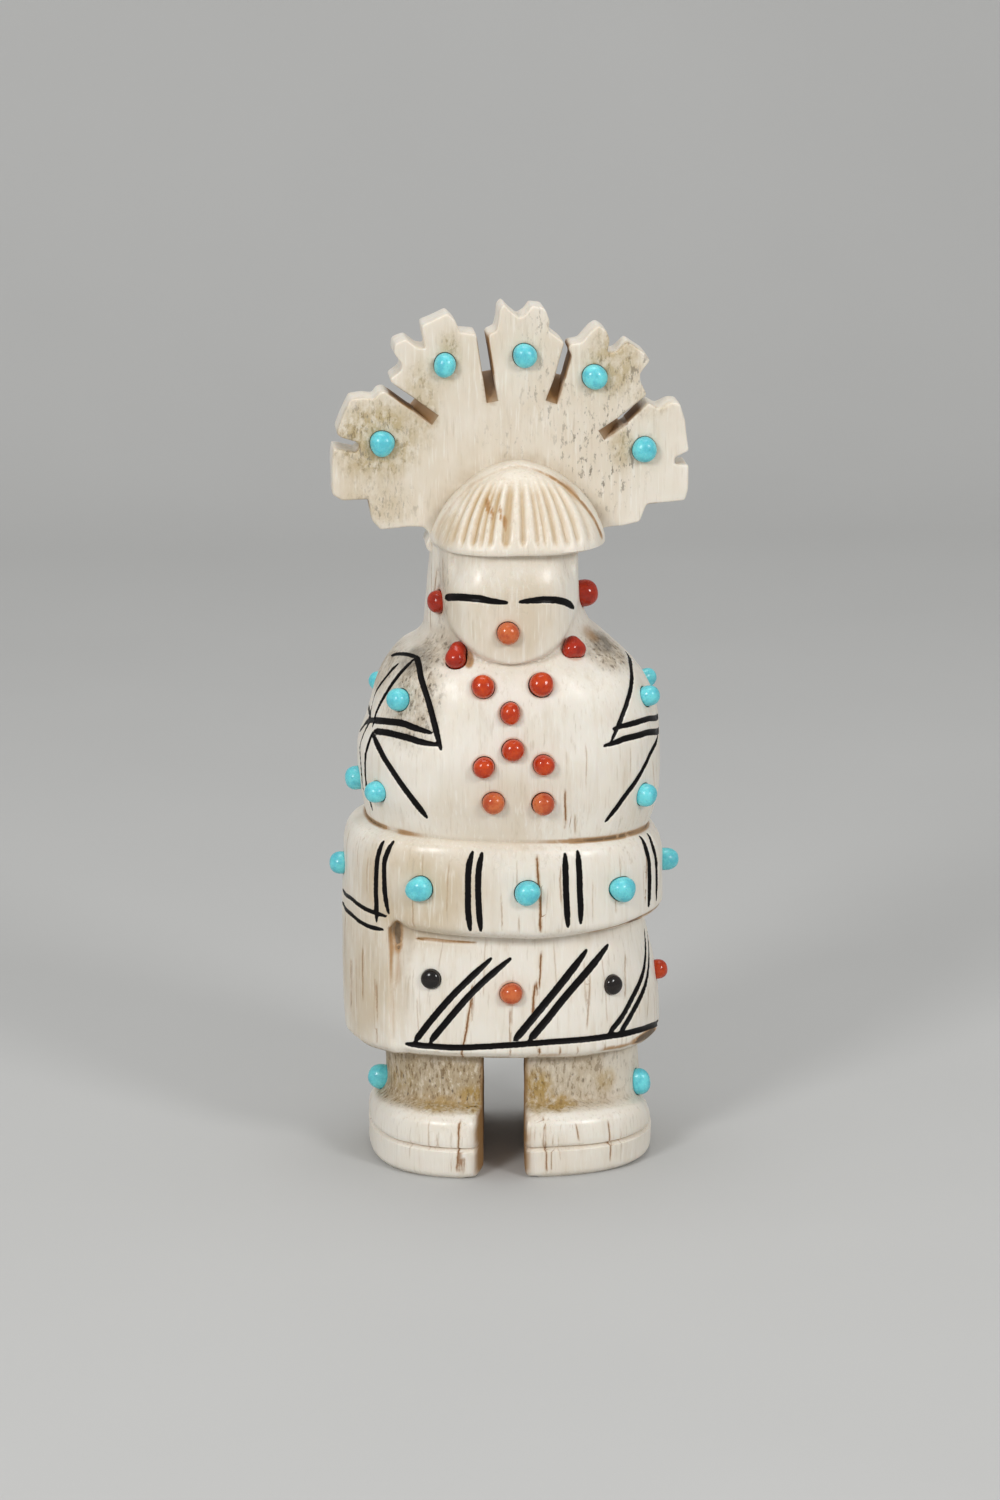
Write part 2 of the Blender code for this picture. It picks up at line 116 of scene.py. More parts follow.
# %% Stations
LOG = np.array(
    [
        (0.0, 13.1, 14.1, 12.0, 9.5, 2.8),  # sole
        (0.6, 13.6, 14.8, 12.5, 10.0, 2.8),
        (2.8, 13.6, 14.9, 12.6, 10.1, 2.8),
        (3.1, 13.2, 14.4, 12.1, 9.7, 2.8),  # line between sole and moccasin
        (3.4, 13.6, 14.8, 12.5, 10.0, 2.8),
        (5.4, 13.5, 14.7, 12.3, 9.9, 2.8),
        (6.4, 13.1, 14.4, 11.5, 9.6, 2.8),  # edge of the toes
        (7.3, 12.2, 14.0, 9.3, 9.2, 2.8),  # instep
        (8.4, 11.8, 13.8, 9.1, 9.2, 2.8),
        (11.9, 12.0, 13.5, 9.1, 9.2, 2.8),
        (12.0, 15.2, 15.2, 11.4, 9.9, 2.4),  # underside of the hem
        (12.8, 16.0, 15.9, 12.0, 10.6, 2.4),
        (20.0, 16.2, 16.0, 12.1, 10.8, 2.4),
        (25.7, 16.1, 16.0, 12.2, 10.9, 2.4),  # belt
        (31.2, 16.0, 16.0, 12.1, 10.9, 2.4),
        (32.8, 15.7, 15.7, 11.9, 10.7, 2.4),
        (33.7, 15.1, 15.2, 11.6, 10.3, 2.4),
        (34.1, 14.3, 14.8, 11.1, 9.9, 2.4),
        (34.4, 13.8, 14.6, 10.8, 9.7, 2.4),  # crease over the belt
        (35.6, 14.0, 15.0, 11.0, 9.9, 2.4),
        (38.4, 14.5, 15.6, 11.4, 10.2, 2.4),  # elbows
        (41.5, 14.6, 15.7, 11.5, 10.2, 2.4),
        (44.3, 13.8, 15.5, 11.3, 10.0, 2.4),
        (46.9, 13.0, 14.9, 11.0, 9.6, 2.4),
        (48.6, 12.5, 14.2, 10.7, 9.2, 2.4),
        (50.0, 11.9, 13.2, 10.2, 8.7, 2.4),  # shoulders
        (51.1, 11.2, 12.1, 9.6, 8.3, 2.4),
        (52.1, 10.2, 11.0, 8.8, 7.7, 2.4),
        (53.1, 8.6, 9.9, 7.9, 7.1, 2.4),
        (54.2, 7.9, 8.7, 7.1, 6.8, 2.4),
        (56.0, 7.7, 7.9, 6.4, 6.5, 2.6),  # hair beside and behind the face
        (59.5, 7.4, 7.4, 6.2, 6.1, 2.6),
        (62.5, 7.2, 7.4, 6.2, 5.9, 2.6),
    ]
)
LEG_STATIONS, BODY_STATIONS = LOG[:10], LOG[10:]
# The cuts run a little lower on the right: this much for each millimetre to the right.
ASLANT_HEIGHTS = (0, 12, 24.4, 34.4, 46)
ASLANT = (0, 0.02, 0.07, 0.04, 0)
# The lower edge of the belt rises again towards the right side.
RISE_SIDES, RISES = (2, 7, 14, 16), (0, 0.6, 1.5, 1.7)
RISE_HEIGHTS, RISE_SHARES = (14, 24.4, 31), (0, 1, 0)
# The tops of the feet fall from the toes to the heels, more so on the right foot.
FALL_HEIGHTS, FALL_SHARES = np.array([3.4, 6.4, 7.3, 11.9]), np.array([0.0, 1, 1, 0])
FALL_LEFT, FALL_RIGHT, FOOT_SIDE = 1.5, 2.6, 13
FALL_START, FALL_LENGTH = -12, 16


def smooth_profile(x, knots, values):
    """Cubic through the knots. A knot's slope is the harmonic mean of its two sides' slopes, 0 at a turn."""
    width, rise = np.diff(knots), np.diff(values) / np.diff(knots)
    product, total = rise[:-1] * rise[1:], rise[:-1] + rise[1:]
    inner = np.where(product > 0, 2 * product / np.where(product > 0, total, 1), 0)
    slope = np.concatenate([rise[:1], inner, rise[-1:]])
    i = np.clip(np.searchsorted(knots, x) - 1, 0, len(width) - 1)
    t = np.clip((x - knots[i]) / width[i], 0, 1)
    start = (2 * t**3 - 3 * t**2 + 1) * values[i] + (t**3 - 2 * t**2 + t) * width[i] * slope[i]
    return start + (3 * t**2 - 2 * t**3) * values[i + 1] + (t**3 - t**2) * width[i] * slope[i + 1]


def oval(angle, left, right, front, back, power):
    """Polar radius of four joined superellipses: (|cos|/width)^p + (|sin|/depth)^p, to the power -1/p."""
    across, along = np.cos(angle), np.sin(angle)
    width = np.where(across < 0, left, right)
    depth = np.where(along < 0, front, back)
    return (np.abs(across / width) ** power + np.abs(along / depth) ** power) ** (-1 / power)


def stations_at(height, stations):
    return [smooth_profile(height, stations[:, 0], stations[:, i]) for i in range(1, 6)]


print("stations:", len(LOG), "from", LOG[0, 0], "to", LOG[-1, 0], "mm")

# %% [markdown]
# ## Skirt, face and fringe
#
# Three things are cut into the log or left standing out of it. The skirt is cut back under the belt,
# except for an uncut flap on the left. The face is a rounded block that ends in the chin, with a soft
# edge and no features but two cuts and a bead. The fringe of hair is a dome, whose flutes come later,
# when the mesh is one. All of them change the radius as a function of the angle round the axis and
# the height.

# %% Carved radius
CREASE, HEM = 24.4, 12.0
FLAP_EDGE, FLAP_EDGE_WIDTH = 218, 4
RECESS_END, RECESS_FADE = 400, 40
FRONT_RECESS, FRONT_FLARE, SIDE_FLARE, FLARE_START = 1.1, 1.1, 2.1, 14.0
BELT_EDGE = 1.3
FACE = dict(left=6.7, right=7.4, front=9.8, back=5.0, power=3.2)
CHEEK, CHIN_DROP, CHIN_POWER, OVERTURN = 57.5, 5.6, 2.6, 1.5
FACE_MIDDLE, FACE_HALF, FACE_EDGE, CHIN_EDGE = 0.2, 7.6, 1.1, 3.4
FRINGE_BASE, FRINGE_RISE, FRINGE_POWER, NEAR_POLE = 62.6, 8.25, 1.7, 0.995
FRINGE_MIDDLE, FRINGE_HALF, FRINGE_DEPTH, FRINGE_SQUARENESS = 1.3, 8.7, 8.8, 3.0
FRINGE_LIP, FRINGE_FOOT = 62.45, 63.15
PLATE_FRONT, PLATE_BACK = -1.4, 3.0
CORE_BACK = 2.2
NAPE_HEIGHTS, NAPE_DEPTHS = (62.5, 64.2, 65.6, 66.8), (5.9, 5.4, 4.3, 2.2)
NAPE_WIDER = 1.3


def skirt_recess(angle, height):
    """Depth of the cut: most in front and in the crease, rounded off under the belt, none on the flap."""
    turn = np.degrees(angle) % 360
    turn = np.where(turn < FLAP_EDGE - 180, turn + 360, turn)
    inside = smooth_step((turn - FLAP_EDGE) / FLAP_EDGE_WIDTH + 0.5)
    inside = inside * smooth_step((RECESS_END - turn) / RECESS_FADE)
    facing = np.clip(-np.sin(angle), 0, 1) ** 0.7
    flare = np.clip((height - FLARE_START) / (CREASE - FLARE_START), 0, 1) ** 1.5
    amount = facing * FRONT_RECESS + (facing * FRONT_FLARE + (1 - facing) * SIDE_FLARE) * flare
    under_belt = np.clip((height - CREASE) / BELT_EDGE, 0, 1)
    return amount * inside * (1 - np.sqrt(1 - (1 - under_belt) ** 2))


def face_radius(angle, height, behind):
    """The larger of head and face block. Its edge follows cheeks and chin, rounded over: 1 - (1 - s)^1.5."""
    block = oval(angle, **FACE)
    drop = np.clip((CHEEK - height) / CHIN_DROP, 0, 1)
    half = FACE_HALF * (1 - drop**CHIN_POWER) ** (1 / CHIN_POWER)
    edge = FACE_EDGE + (CHIN_EDGE - FACE_EDGE) * drop
    inside = smooth_step((half - np.abs(block * np.cos(angle) - FACE_MIDDLE)) / edge)
    on_face = (height > CHEEK - CHIN_DROP) & (np.sin(angle) < 0)
    inside = 1 - (1 - np.where(on_face, inside, 0)) ** OVERTURN
    return behind + np.maximum(block - behind, 0) * inside


def dome_size(height, rise=FRINGE_RISE):
    """How wide the dome is at a height, from 1 at its foot to 0 at its pole: (1 - t^p)^(1/p)."""
    share = np.clip((height - FRINGE_BASE) / rise, 0, NEAR_POLE)
    return (1 - share**FRINGE_POWER) ** (1 / FRINGE_POWER)


def fringe_radius(angle, height):
    """Dome of hair: an oval that shrinks towards the pole. Behind the plate it is the nape."""
    size = dome_size(height)
    half, front = FRINGE_HALF * size, FRINGE_DEPTH * size - PLATE_FRONT
    dome = oval(angle, half, half, front, CORE_BACK, FRINGE_SQUARENESS)
    nape = np.interp(height, NAPE_HEIGHTS, NAPE_DEPTHS)
    hair = oval(angle, nape + NAPE_WIDER, nape + NAPE_WIDER, nape, nape, FRINGE_SQUARENESS)
    return np.where((np.sin(angle) > 0.01) & (nape > CORE_BACK), hair, dome)


def body_radius(angle, height):
    """Everything from the hem up. The fringe takes over from the head across its rounded lower lip."""
    radius = oval(angle, *stations_at(np.minimum(height, LOG[-1, 0]), BODY_STATIONS))
    radius = face_radius(angle, height, radius - skirt_recess(angle, height))
    return radius + (fringe_radius(angle, np.maximum(height, FRINGE_FOOT)) - radius) * lip_share(height)


def lip_share(height):
    return smooth_step((height - FRINGE_LIP) / (FRINGE_FOOT - FRINGE_LIP))


def drop(x, y, height):
    """How far a point is lowered: the slant times x, less the belt's rise, and the fall of the feet."""
    deepest = np.interp(x, (-FOOT_SIDE, FOOT_SIDE), (FALL_LEFT, FALL_RIGHT))
    fall = deepest * smooth_step((y - FALL_START) / FALL_LENGTH)
    fall = fall * smooth_profile(height, FALL_HEIGHTS, FALL_SHARES)
    rise = np.interp(x, RISE_SIDES, RISES) * np.interp(height, RISE_HEIGHTS, RISE_SHARES)
    return np.interp(height, ASLANT_HEIGHTS, ASLANT) * x - rise + fall


def carved_place(x, y, height):
    return np.stack([x, y, height - drop(x, y, height)], axis=-1)


def level(points):
    """The height before the drop: the first guess is z, and the drop there is put back four times."""
    x, y, z = points.T
    height = z
    for _ in range(4):
        height = z + drop(x, y, height)
    return height


def body_surface(angle, height):
    """Radius times (cos, sin), moved over to the fringe's own axis above its lip, and dropped."""
    angle, height = np.broadcast_arrays(angle, height)
    radius = body_radius(angle, height)
    aside = FRINGE_MIDDLE * lip_share(height)
    return carved_place(radius * np.cos(angle) + aside, radius * np.sin(angle), height)


# %% [markdown]
# ## Rows where the shape turns
#
# Rows at even heights would be wasted on straight stretches and too few where a ledge sticks out. So
# they are spread evenly along the surface instead: the length of the profile is added up at several
# angles, and the rows are set where that length reaches the next step.

# %% Body and head as one grid
ROW_STEP, FRONT_STEP, BACK_STEP = 0.34, 1.25, 2.5
PROFILE_ANGLES = np.radians([270, 200, 240, 300, 340, 90])


def even_rows(radius, low, high, step):
    """Heights at equal steps of surface length, where a small step is sqrt(dz^2 + the largest dr^2)."""
    fine = np.linspace(low, high, 6000)
    reach = radius(PROFILE_ANGLES[None, :], fine[:, None])
    length = np.hypot(np.diff(fine), np.abs(np.diff(reach, axis=0)).max(axis=1))
    length = np.concatenate([[0], np.cumsum(length)])
    return np.interp(np.linspace(0, length[-1], int(length[-1] / step)), length, fine)


TOP = FRINGE_BASE + FRINGE_RISE * NEAR_POLE
columns = np.radians(np.concatenate([np.arange(0, 180, BACK_STEP), np.arange(180, 360, FRONT_STEP)]))
rows = even_rows(body_radius, HEM, TOP, ROW_STEP)
carving = tube("antler_carving_skin", body_surface(columns[None, :], rows[:, None]))
print("body:", len(rows), "rows of", len(columns), "points")

# %% [markdown]
# ## Two legs beside a saw cut
#
# The legs were one block until a saw went up between them. Each is a grid of its own. From a point
# inside the leg a ray goes out in every direction, and its length is the smallest of the distances
# to the outside of the log and to the wall of the saw cut. The smallest is taken softly, as the sum
# of high negative powers, which rounds the corner where the cut meets the toes.

# %% Legs
CUT_DEPTHS = np.array([-14, -9, 12.0])
LEFT_WALL, RIGHT_WALL = np.array([-4.3, -2.8, -0.9]), np.array([1.1, 1.35, 3.3])
LEG_TOP, LEG_COLUMNS, CORNER = 13.2, 150, 26
SOLE_EDGE, SOLE_INSET = 0.35, 0.3


def distance_outwards(centre, angle, outline):
    """Distance from a point inside the log to its outline, by halving an interval 24 times."""
    low, high = np.zeros(angle.shape), np.full(angle.shape, 40.0)
    for _ in range(24):
        reach = (low + high) / 2
        x, y = centre[0] + reach * np.cos(angle), centre[1] + reach * np.sin(angle)
        inside = np.hypot(x, y) < outline(np.arctan2(y, x))
        low, high = np.where(inside, reach, low), np.where(inside, high, reach)
    return (low + high) / 2


def wall_distance(centre, angle, wall, side):
    """Distance along a ray to a wall of two straight stretches: the nearer of the two crossings."""
    slope = np.diff(wall) / np.diff(CUT_DEPTHS)
    found = np.full(angle.shape, 1e3)
    for start, lean, depth in zip(wall, slope, CUT_DEPTHS):
        closing = side * (np.cos(angle) - lean * np.sin(angle))
        gap = side * (start + lean * (centre[1] - depth) - centre[0])
        found = np.minimum(found, np.where(closing > 1e-3, gap / np.maximum(closing, 1e-3), 1e3))
    return found


def leg(name, centre, wall, side):
    """Rows of soft minimums of the outline and the wall, drawn in a little at the edge of the sole."""
    stations = np.vstack([LEG_STATIONS, [LEG_TOP, *LEG_STATIONS[-1, 1:]]])
    heights = even_rows(lambda a, z: oval(a, *stations_at(z, stations)), 0, LEG_TOP, ROW_STEP)
    angle = np.linspace(0, 2 * np.pi, LEG_COLUMNS, endpoint=False)[None, :] + heights[:, None] * 0
    height = heights[:, None] + angle * 0
    outside = distance_outwards(centre, angle, lambda a: oval(a, *stations_at(height, stations)))
    cut = wall_distance(centre, angle, wall, side)
    reach = (outside**-CORNER + cut**-CORNER) ** (-1 / CORNER)
    reach = reach - SOLE_INSET * (1 - smooth_step(height / SOLE_EDGE)) * (cut < outside + 2)
    grid = carved_place(centre[0] + reach * np.cos(angle), centre[1] + reach * np.sin(angle), height)
    return tube(name, grid)


left_leg = leg("left_leg_skin", (-8.2, -1.0), LEFT_WALL, 1)
right_leg = leg("right_leg_skin", (8.4, -1.0), RIGHT_WALL, -1)
print("legs:", len(left_leg.data.polygons), "faces each")

# %% [markdown]
# ## The headdress
#
# The headdress is a plate with five stepped lobes. Its rim was cut with a file and a thin saw, and
# the edges are crisp but not sharp. So the rim is a profile, a quarter round, a straight wall and
# another quarter round, carried along the outline. The outline is given lobe by lobe, as degrees and
# distance round a point behind the fringe, and chipped tips stay chipped.

# %% Outline of the plate
HUB_X, HUB_Z = 0.55, 68.3
LOW_LEFT = (
    (220, 10.4), (216, 10.3), (212, 9.3), (206, 9.5), (202, 11.0), (198.8, 13.5), (194, 14.0),
    (185.2, 14.0), (184.7, 16.6), (182.5, 17.5), (171.3, 17.7), (167.5, 17.8), (167.6, 15.5),
    (165.2, 15.3), (163.6, 15.6), (163.5, 17.4), (162.5, 17.9), (154, 17.9), (151, 17.9),
    (148.5, 16.9), (147, 15.9), (144.2, 15.9), (142.5, 15.5), (141.9, 12.2),
)
HIGH_LEFT = (
    (136.7, 12.2), (138.4, 15.5), (137.8, 15.9), (133, 15.7), (131.3, 16.1), (131, 17.4),
    (128.7, 18.1), (125, 17.8), (123.5, 16.4), (121.2, 15.9), (119.9, 17.0), (118.6, 18.1),
    (109.6, 18.1), (108.1, 17.2), (107.9, 15.9), (102.3, 15.3), (103.9, 10.9),
)
MIDDLE_LOBE = (
    (98.1, 10.9), (98.3, 15.0), (94.9, 15.3), (93.8, 16.4), (93.3, 17.4), (91.8, 17.9),
    (89.8, 17.2), (86.6, 16.5), (84.5, 17.0), (83.1, 17.8), (79, 17.8), (77.7, 17.3),
    (76.2, 16.6), (76.0, 15.7), (69.1, 15.0), (67.5, 11.5),
)
HIGH_RIGHT = (
    (62.0, 11.5), (64.2, 14.1), (66.7, 14.6), (66.7, 15.0), (63.3, 15.6), (62, 17.2),
    (60.8, 17.9), (58, 17.9), (55.2, 17.3), (53.3, 16.1), (51, 16.7), (50.4, 18.2), (44, 18.5),
    (41.1, 18.4), (40, 16.8), (38, 16.4), (32.7, 16.1), (31.3, 12.5),
)
LOW_RIGHT = (
    (26.2, 12.5), (29.8, 15.8), (26.3, 16.4), (26.2, 17.8), (24.8, 18.5), (19.1, 18.4),
    (9.6, 18.0), (8.3, 16.5), (5.9, 16.4), (5.3, 17.8), (-3, 17.7), (-6.4, 17.5), (-7.8, 15.6),
    (-9.4, 13.8), (-17.2, 13.5), (-21.5, 12.0), (-26, 10.4),
)
PLATE_FOOT = ((6.5, 61.5), (-6.3, 61.5))
SLOT_RAMPS = (
    ((138.4, 9.8), (139.3, 12.2)),
    ((101.7, 8.4), (101.0, 10.9)),
    ((63.2, 9.1), (64.8, 11.5)),
    ((27.6, 10.2), (28.7, 12.5)),
)
SLOT_WIDTH, RAMP_WIDER, RAMP_DEEPER, RAMP_RISE = 1.1, 0.1, 0.14, 1.2
OUTLINE_STEP, RIM_ROUND = 0.22, 0.2


def around_hub(degrees, radius):
    """(x, z) at that many degrees and that distance round the hub."""
    angle = np.radians(degrees)
    return np.stack([HUB_X + radius * np.cos(angle), HUB_Z + radius * np.sin(angle)], axis=-1)


def walk(corners, step):
    """Points at equal steps round a closed line, each averaged with its neighbours to wear the corners."""
    loop = np.vstack([corners, corners[:1]])
    length = np.concatenate([[0], np.cumsum(np.hypot(*np.diff(loop, axis=0).T))])
    at = np.linspace(0, length[-1], int(length[-1] / step), endpoint=False)
    line = np.stack([np.interp(at, length, loop[:, k]) for k in range(2)], axis=-1)
    return 0.5 * line + 0.25 * (np.roll(line, 1, axis=0) + np.roll(line, -1, axis=0))


LOBES = (LOW_LEFT, HIGH_LEFT, MIDDLE_LOBE, HIGH_RIGHT, LOW_RIGHT)
corners = np.vstack([around_hub(*np.array(lobe).T) for lobe in LOBES])
outline = walk(np.vstack([corners, PLATE_FOOT]), OUTLINE_STEP)
print("outline of the headdress:", len(outline), "points")

# %% Rim carried along the outline
turn = np.radians([0, 30, 60, 90])
# The profile, front to back: how far in from the outline, and how deep.
inset = RIM_ROUND * np.concatenate([1 - np.sin(turn), [0, 0], 1 - np.sin(turn[::-1])])
depth = np.concatenate(
    [
        PLATE_FRONT + RIM_ROUND * (1 - np.cos(turn)),
        np.linspace(PLATE_FRONT, PLATE_BACK, 4)[1:3],
        PLATE_BACK - RIM_ROUND * (1 - np.cos(turn[::-1])),
    ]
)
ahead = np.roll(outline, -1, axis=0) - np.roll(outline, 1, axis=0)
ahead = ahead / np.hypot(*ahead.T)[:, None]
inwards = np.stack([ahead[:, 1], -ahead[:, 0]], axis=-1)
flat = outline[None] + inwards[None] * inset[:, None, None]
rim = np.stack([flat[..., 0], np.broadcast_to(depth[:, None], flat.shape[:2]), flat[..., 1]], axis=-1)
plate = tube("headdress_skin", rim)
print("rim:", rim.shape[0], "points across,", rim.shape[1], "along")

# %% Flat faces in small cells
CELL = 0.55


def in_cells(made, step):
    """Planes at equal steps in x and in z split each flat face, so far one polygon, into squares."""
    shape = bmesh.new()
    shape.from_mesh(made.data)
    corners = np.array([vertex.co for vertex in shape.verts]) / MM
    for axis in (0, 2):
        across = Vector([float(axis == i) for i in range(3)])
        for at in np.arange(corners[:, axis].min() + step / 2, corners[:, axis].max(), step):
            flat = [face for face in shape.faces if abs(face.normal.y) > 0.999]
            edges = {edge for face in flat for edge in face.edges}
            points = {vertex for face in flat for vertex in face.verts}
            cut = dict(geom=[*points, *edges, *flat], dist=1e-7, plane_co=across * at * MM, plane_no=across)
            bmesh.ops.bisect_plane(shape, **cut)
    shape.to_mesh(made.data)
    shape.free()


in_cells(plate, CELL)
print("headdress:", len(plate.data.polygons), "faces")


# %% Ramps at the ends of the slots
def ramp_cutter(name, inner, outer):
    """A trough, wider at the face, whose floor falls straight from the front of the plate to its back."""
    inner, outer = around_hub(*inner), around_hub(*outer)
    long = np.linalg.norm(outer - inner)
    along = (outer - inner) / long
    across = np.array([-along[1], along[0]])
    fall = (PLATE_BACK - PLATE_FRONT) / long
    half, wide = SLOT_WIDTH / 2, SLOT_WIDTH / 2 + RAMP_WIDER
    sides = np.array([-wide, -wide, -half, -half, half, half, wide, wide])
    rings = []
    for s in np.linspace(0, long + half, 9):
        floor = PLATE_FRONT + RAMP_DEEPER + fall * s
        deep = np.array([-RAMP_RISE, 0, 0.1, 0, 0, 0.1, 0, -RAMP_RISE]) + PLATE_FRONT
        deep[3:5] = floor
        at = inner + along * s + across * sides[:, None]
        rings.append(np.stack([at[:, 0], deep, at[:, 1]], axis=-1))
    return tube(name, np.array(rings))


ramps = [ramp_cutter(f"ramp_{i}", *ends) for i, ends in enumerate(SLOT_RAMPS)]
print("ramps:", len(ramps))

# %% [markdown]
# ## Beads
#
# Each bead is a peg with a polished, domed head in a drilled hole. The holes are slightly wider than
# the pegs, which leaves the fine dark ring that a real glued bead has. No two beads are alike: some
# are oval, one hangs like a drop and one is nearly a triangle. An outline says how the radius changes
# round the bead, and the dome is that outline shrunk ring by ring up to the top.

# %% Where the beads are
LOG_BEADS = {
    "turquoise": (
        ("left_arm_1", 157, 47.0, 1.0), ("left_arm_2", 212.5, 48.0, 1.15),
        ("left_arm_3", 183, 38.3, 1.2), ("left_arm_4", 206.1, 38.3, 1.1),
        ("right_arm_1", 11.5, 47.3, 0.95), ("right_arm_2", 340.2, 47.4, 1.05),
        ("right_arm_3", 14.5, 37.1, 1.0), ("right_arm_4", 332.2, 38.3, 1.1),
        ("belt_1", 180, 28.8, 1.15), ("belt_2", 229.5, 29.3, 1.3), ("belt_3", 276.2, 29.6, 1.25),
        ("belt_4", 317.8, 29.4, 1.3), ("belt_5", 358, 30.1, 1.15), ("belt_6", 42, 29.6, 1.2),
        ("belt_7", 90, 29.4, 1.2), ("belt_8", 138, 29.2, 1.2),
        ("left_leg", 178, 8.0, 1.2), ("right_leg", 342, 8.5, 1.2),
    ),
    "coral": (
        ("face", 267.8, 55.2, 1.1), ("left_ear", 211.5, 57.2, 1.15), ("right_ear", 348, 57.2, 1.35),
        ("neck_1", 235.9, 52.4, 1.2), ("neck_2", 311.6, 52.8, 1.15), ("chest_1", 254.3, 49.9, 1.15),
        ("chest_2", 285.8, 50.0, 1.2), ("chest_3", 268.6, 47.4, 1.05), ("chest_4", 269.9, 43.8, 1.1),
        ("chest_5", 255.8, 42.1, 1.05), ("chest_6", 284.7, 42.3, 1.05),
        ("chest_7", 260.3, 38.5, 1.1), ("chest_8", 284.6, 38.4, 1.1),
        ("skirt_1", 269.3, 18.8, 1.1), ("skirt_2", 359, 17.9, 1.0), ("skirt_3", 90, 18.6, 1.0),
    ),
    "jet": (
        ("skirt_1", 230.4, 19.8, 1.0), ("skirt_2", 319.1, 18.9, 1.0),
        ("skirt_3", 50, 18.8, 1.0), ("skirt_4", 130, 18.8, 1.0),
    ),
}
PLATE_BEADS = (
    ("headdress_1", 161.1, 13.3, 1.25),
    ("headdress_2", 118.1, 13.6, 1.15),
    ("headdress_3", 83.5, 12.9, 1.2),
    ("headdress_4", 51.8, 13.5, 1.25),
    ("headdress_5", 13.9, 13.7, 1.25),
)
HEAD_HEIGHT = {"turquoise": 1.4, "coral": 1.25, "jet": 0.75}
HIGHER = {"turquoise_left_leg": 0.45, "turquoise_belt_5": 0.3, "coral_right_ear": 0.5}
SOCKET_DEPTH, GLUE = 0.8, 0.05
# How far a bead is from round: (oval, direction of the oval in degrees, three-sided, direction).
UNEVEN = {
    "coral_neck_1": (0.22, 90, 0.08, 90),
    "coral_neck_2": (0.02, 0, 0.12, 84),
    "coral_chest_3": (0.08, 90, 0.02, 60),
    "turquoise_left_arm_4": (0.03, 0, 0.01, 0),
    "turquoise_headdress_2": (0.07, 80, 0.01, 0),
    "turquoise_right_leg": (0.16, 100, 0.06, 90),
    "turquoise_left_leg": (0.09, 90, 0.02, 0),
    "turquoise_belt_2": (0.05, 20, 0.03, 75),
    "turquoise_belt_4": (0.04, 160, 0.05, 40),
    "turquoise_right_arm_4": (0.06, 60, 0.03, 20),
    "turquoise_headdress_1": (0.03, 90, 0.03, 20),
}


def any_surface(angle, height):
    """The log's surface above or below the hem."""
    radius = np.where(
        height < HEM,
        oval(angle, *stations_at(np.minimum(height, LEG_STATIONS[-1, 0]), LEG_STATIONS)),
        body_radius(angle, height),
    )
    return carved_place(radius * np.cos(angle), radius * np.sin(angle), height)


def seat_on_log(degrees, height):
    """(point, side, up, out): out is the cross product of the two directions along the surface."""
    angle, step = np.radians(degrees), 0.02
    angles = np.array([angle, angle + step, angle - step, angle, angle])
    heights = np.array([height, height, height, height + step, height - step])
    point, after, before, above, below = any_surface(angles, heights)
    return frame_at(point, np.cross(after - before, above - below))


def frame_at(point, out):
    out = out / np.linalg.norm(out)
    up = np.array([0, 0, 1]) - out[2] * out
    up = up / np.linalg.norm(up)
    return point, np.cross(up, out), up, out


seats = {}
for stone, beads in LOG_BEADS.items():
    for name, degrees, height, radius in beads:
        seats[f"{stone}_{name}"] = (seat_on_log(degrees, height), radius)
for name, degrees, distance, radius in PLATE_BEADS:
    x, z = around_hub(degrees, distance)
    seats[f"turquoise_{name}"] = (frame_at(np.array([x, PLATE_FRONT, z]), np.array([0, -1.0, 0])), radius)
print("beads:", len(seats))

# %% Bead shapes
BEAD_POINTS, DOME_POWER, WAIST, HOLE_TOP = 32, 2.3, 0.16, 0.7


def bead_outline(name, radius, number):
    """Radius round the bead: 1 + a cos 2(t - u) + b cos 3(t - v), times its own radius."""
    luck = np.random.default_rng(number)
    chance = (luck.uniform(0, 0.035), luck.uniform(0, 180), luck.uniform(0, 0.02), luck.uniform(0, 120))
    two, two_turn, three, three_turn = UNEVEN.get(name, chance)
    t = 2 * np.pi * np.arange(BEAD_POINTS) / BEAD_POINTS
    two = two * np.cos(2 * (t - np.radians(two_turn)))
    three = three * np.cos(3 * (t - np.radians(three_turn)))
    return t, radius * (1 + two + three)


def bead_rings(t, outline, seat, steps):
    """Rings of (share of the outline, height over the surface) set on the seat's side, up and out."""
    point, side, up, out = seat
    share, height = np.array(steps).T
    across = share[:, None] * (outline * np.cos(t))[None]
    along = share[:, None] * (outline * np.sin(t))[None]
    return point + across[..., None] * side + along[..., None] * up + height[:, None, None] * out


def dome(height):
    """A peg below the surface, a slight waist at it, then a superellipse: share^2.3 + (z/h)^2.3 = 1."""
    a = np.linspace(0, np.pi / 2, 12)[1:-1]
    bend = 2 / DOME_POWER
    cap = [(np.cos(x) ** bend, height * (WAIST + (1 - WAIST) * np.sin(x) ** bend)) for x in a]
    peg = [(0.93, 0.02 - SOCKET_DEPTH), (0.95, -0.1), (0.985, 0.03), (1.0, height * WAIST)]
    return [*peg, *cap, (0.06, height * 0.999)]


stones, holes = {}, []
for number, (name, (seat, radius)) in enumerate(seats.items()):
    t, bead_edge = bead_outline(name, radius, number)
    head = HEAD_HEIGHT[name.split("_")[0]] + HIGHER.get(name, 0)
    stones[name] = tube(f"{name}_bead", bead_rings(t, bead_edge, seat, dome(head)))
    hole = bead_rings(t, bead_edge + GLUE, seat, [(1, -SOCKET_DEPTH), (1, HOLE_TOP)])
    holes.append(tube(f"{name}_hole", hole))
print("bead faces:", sum(len(stone.data.polygons) for stone in stones.values()))

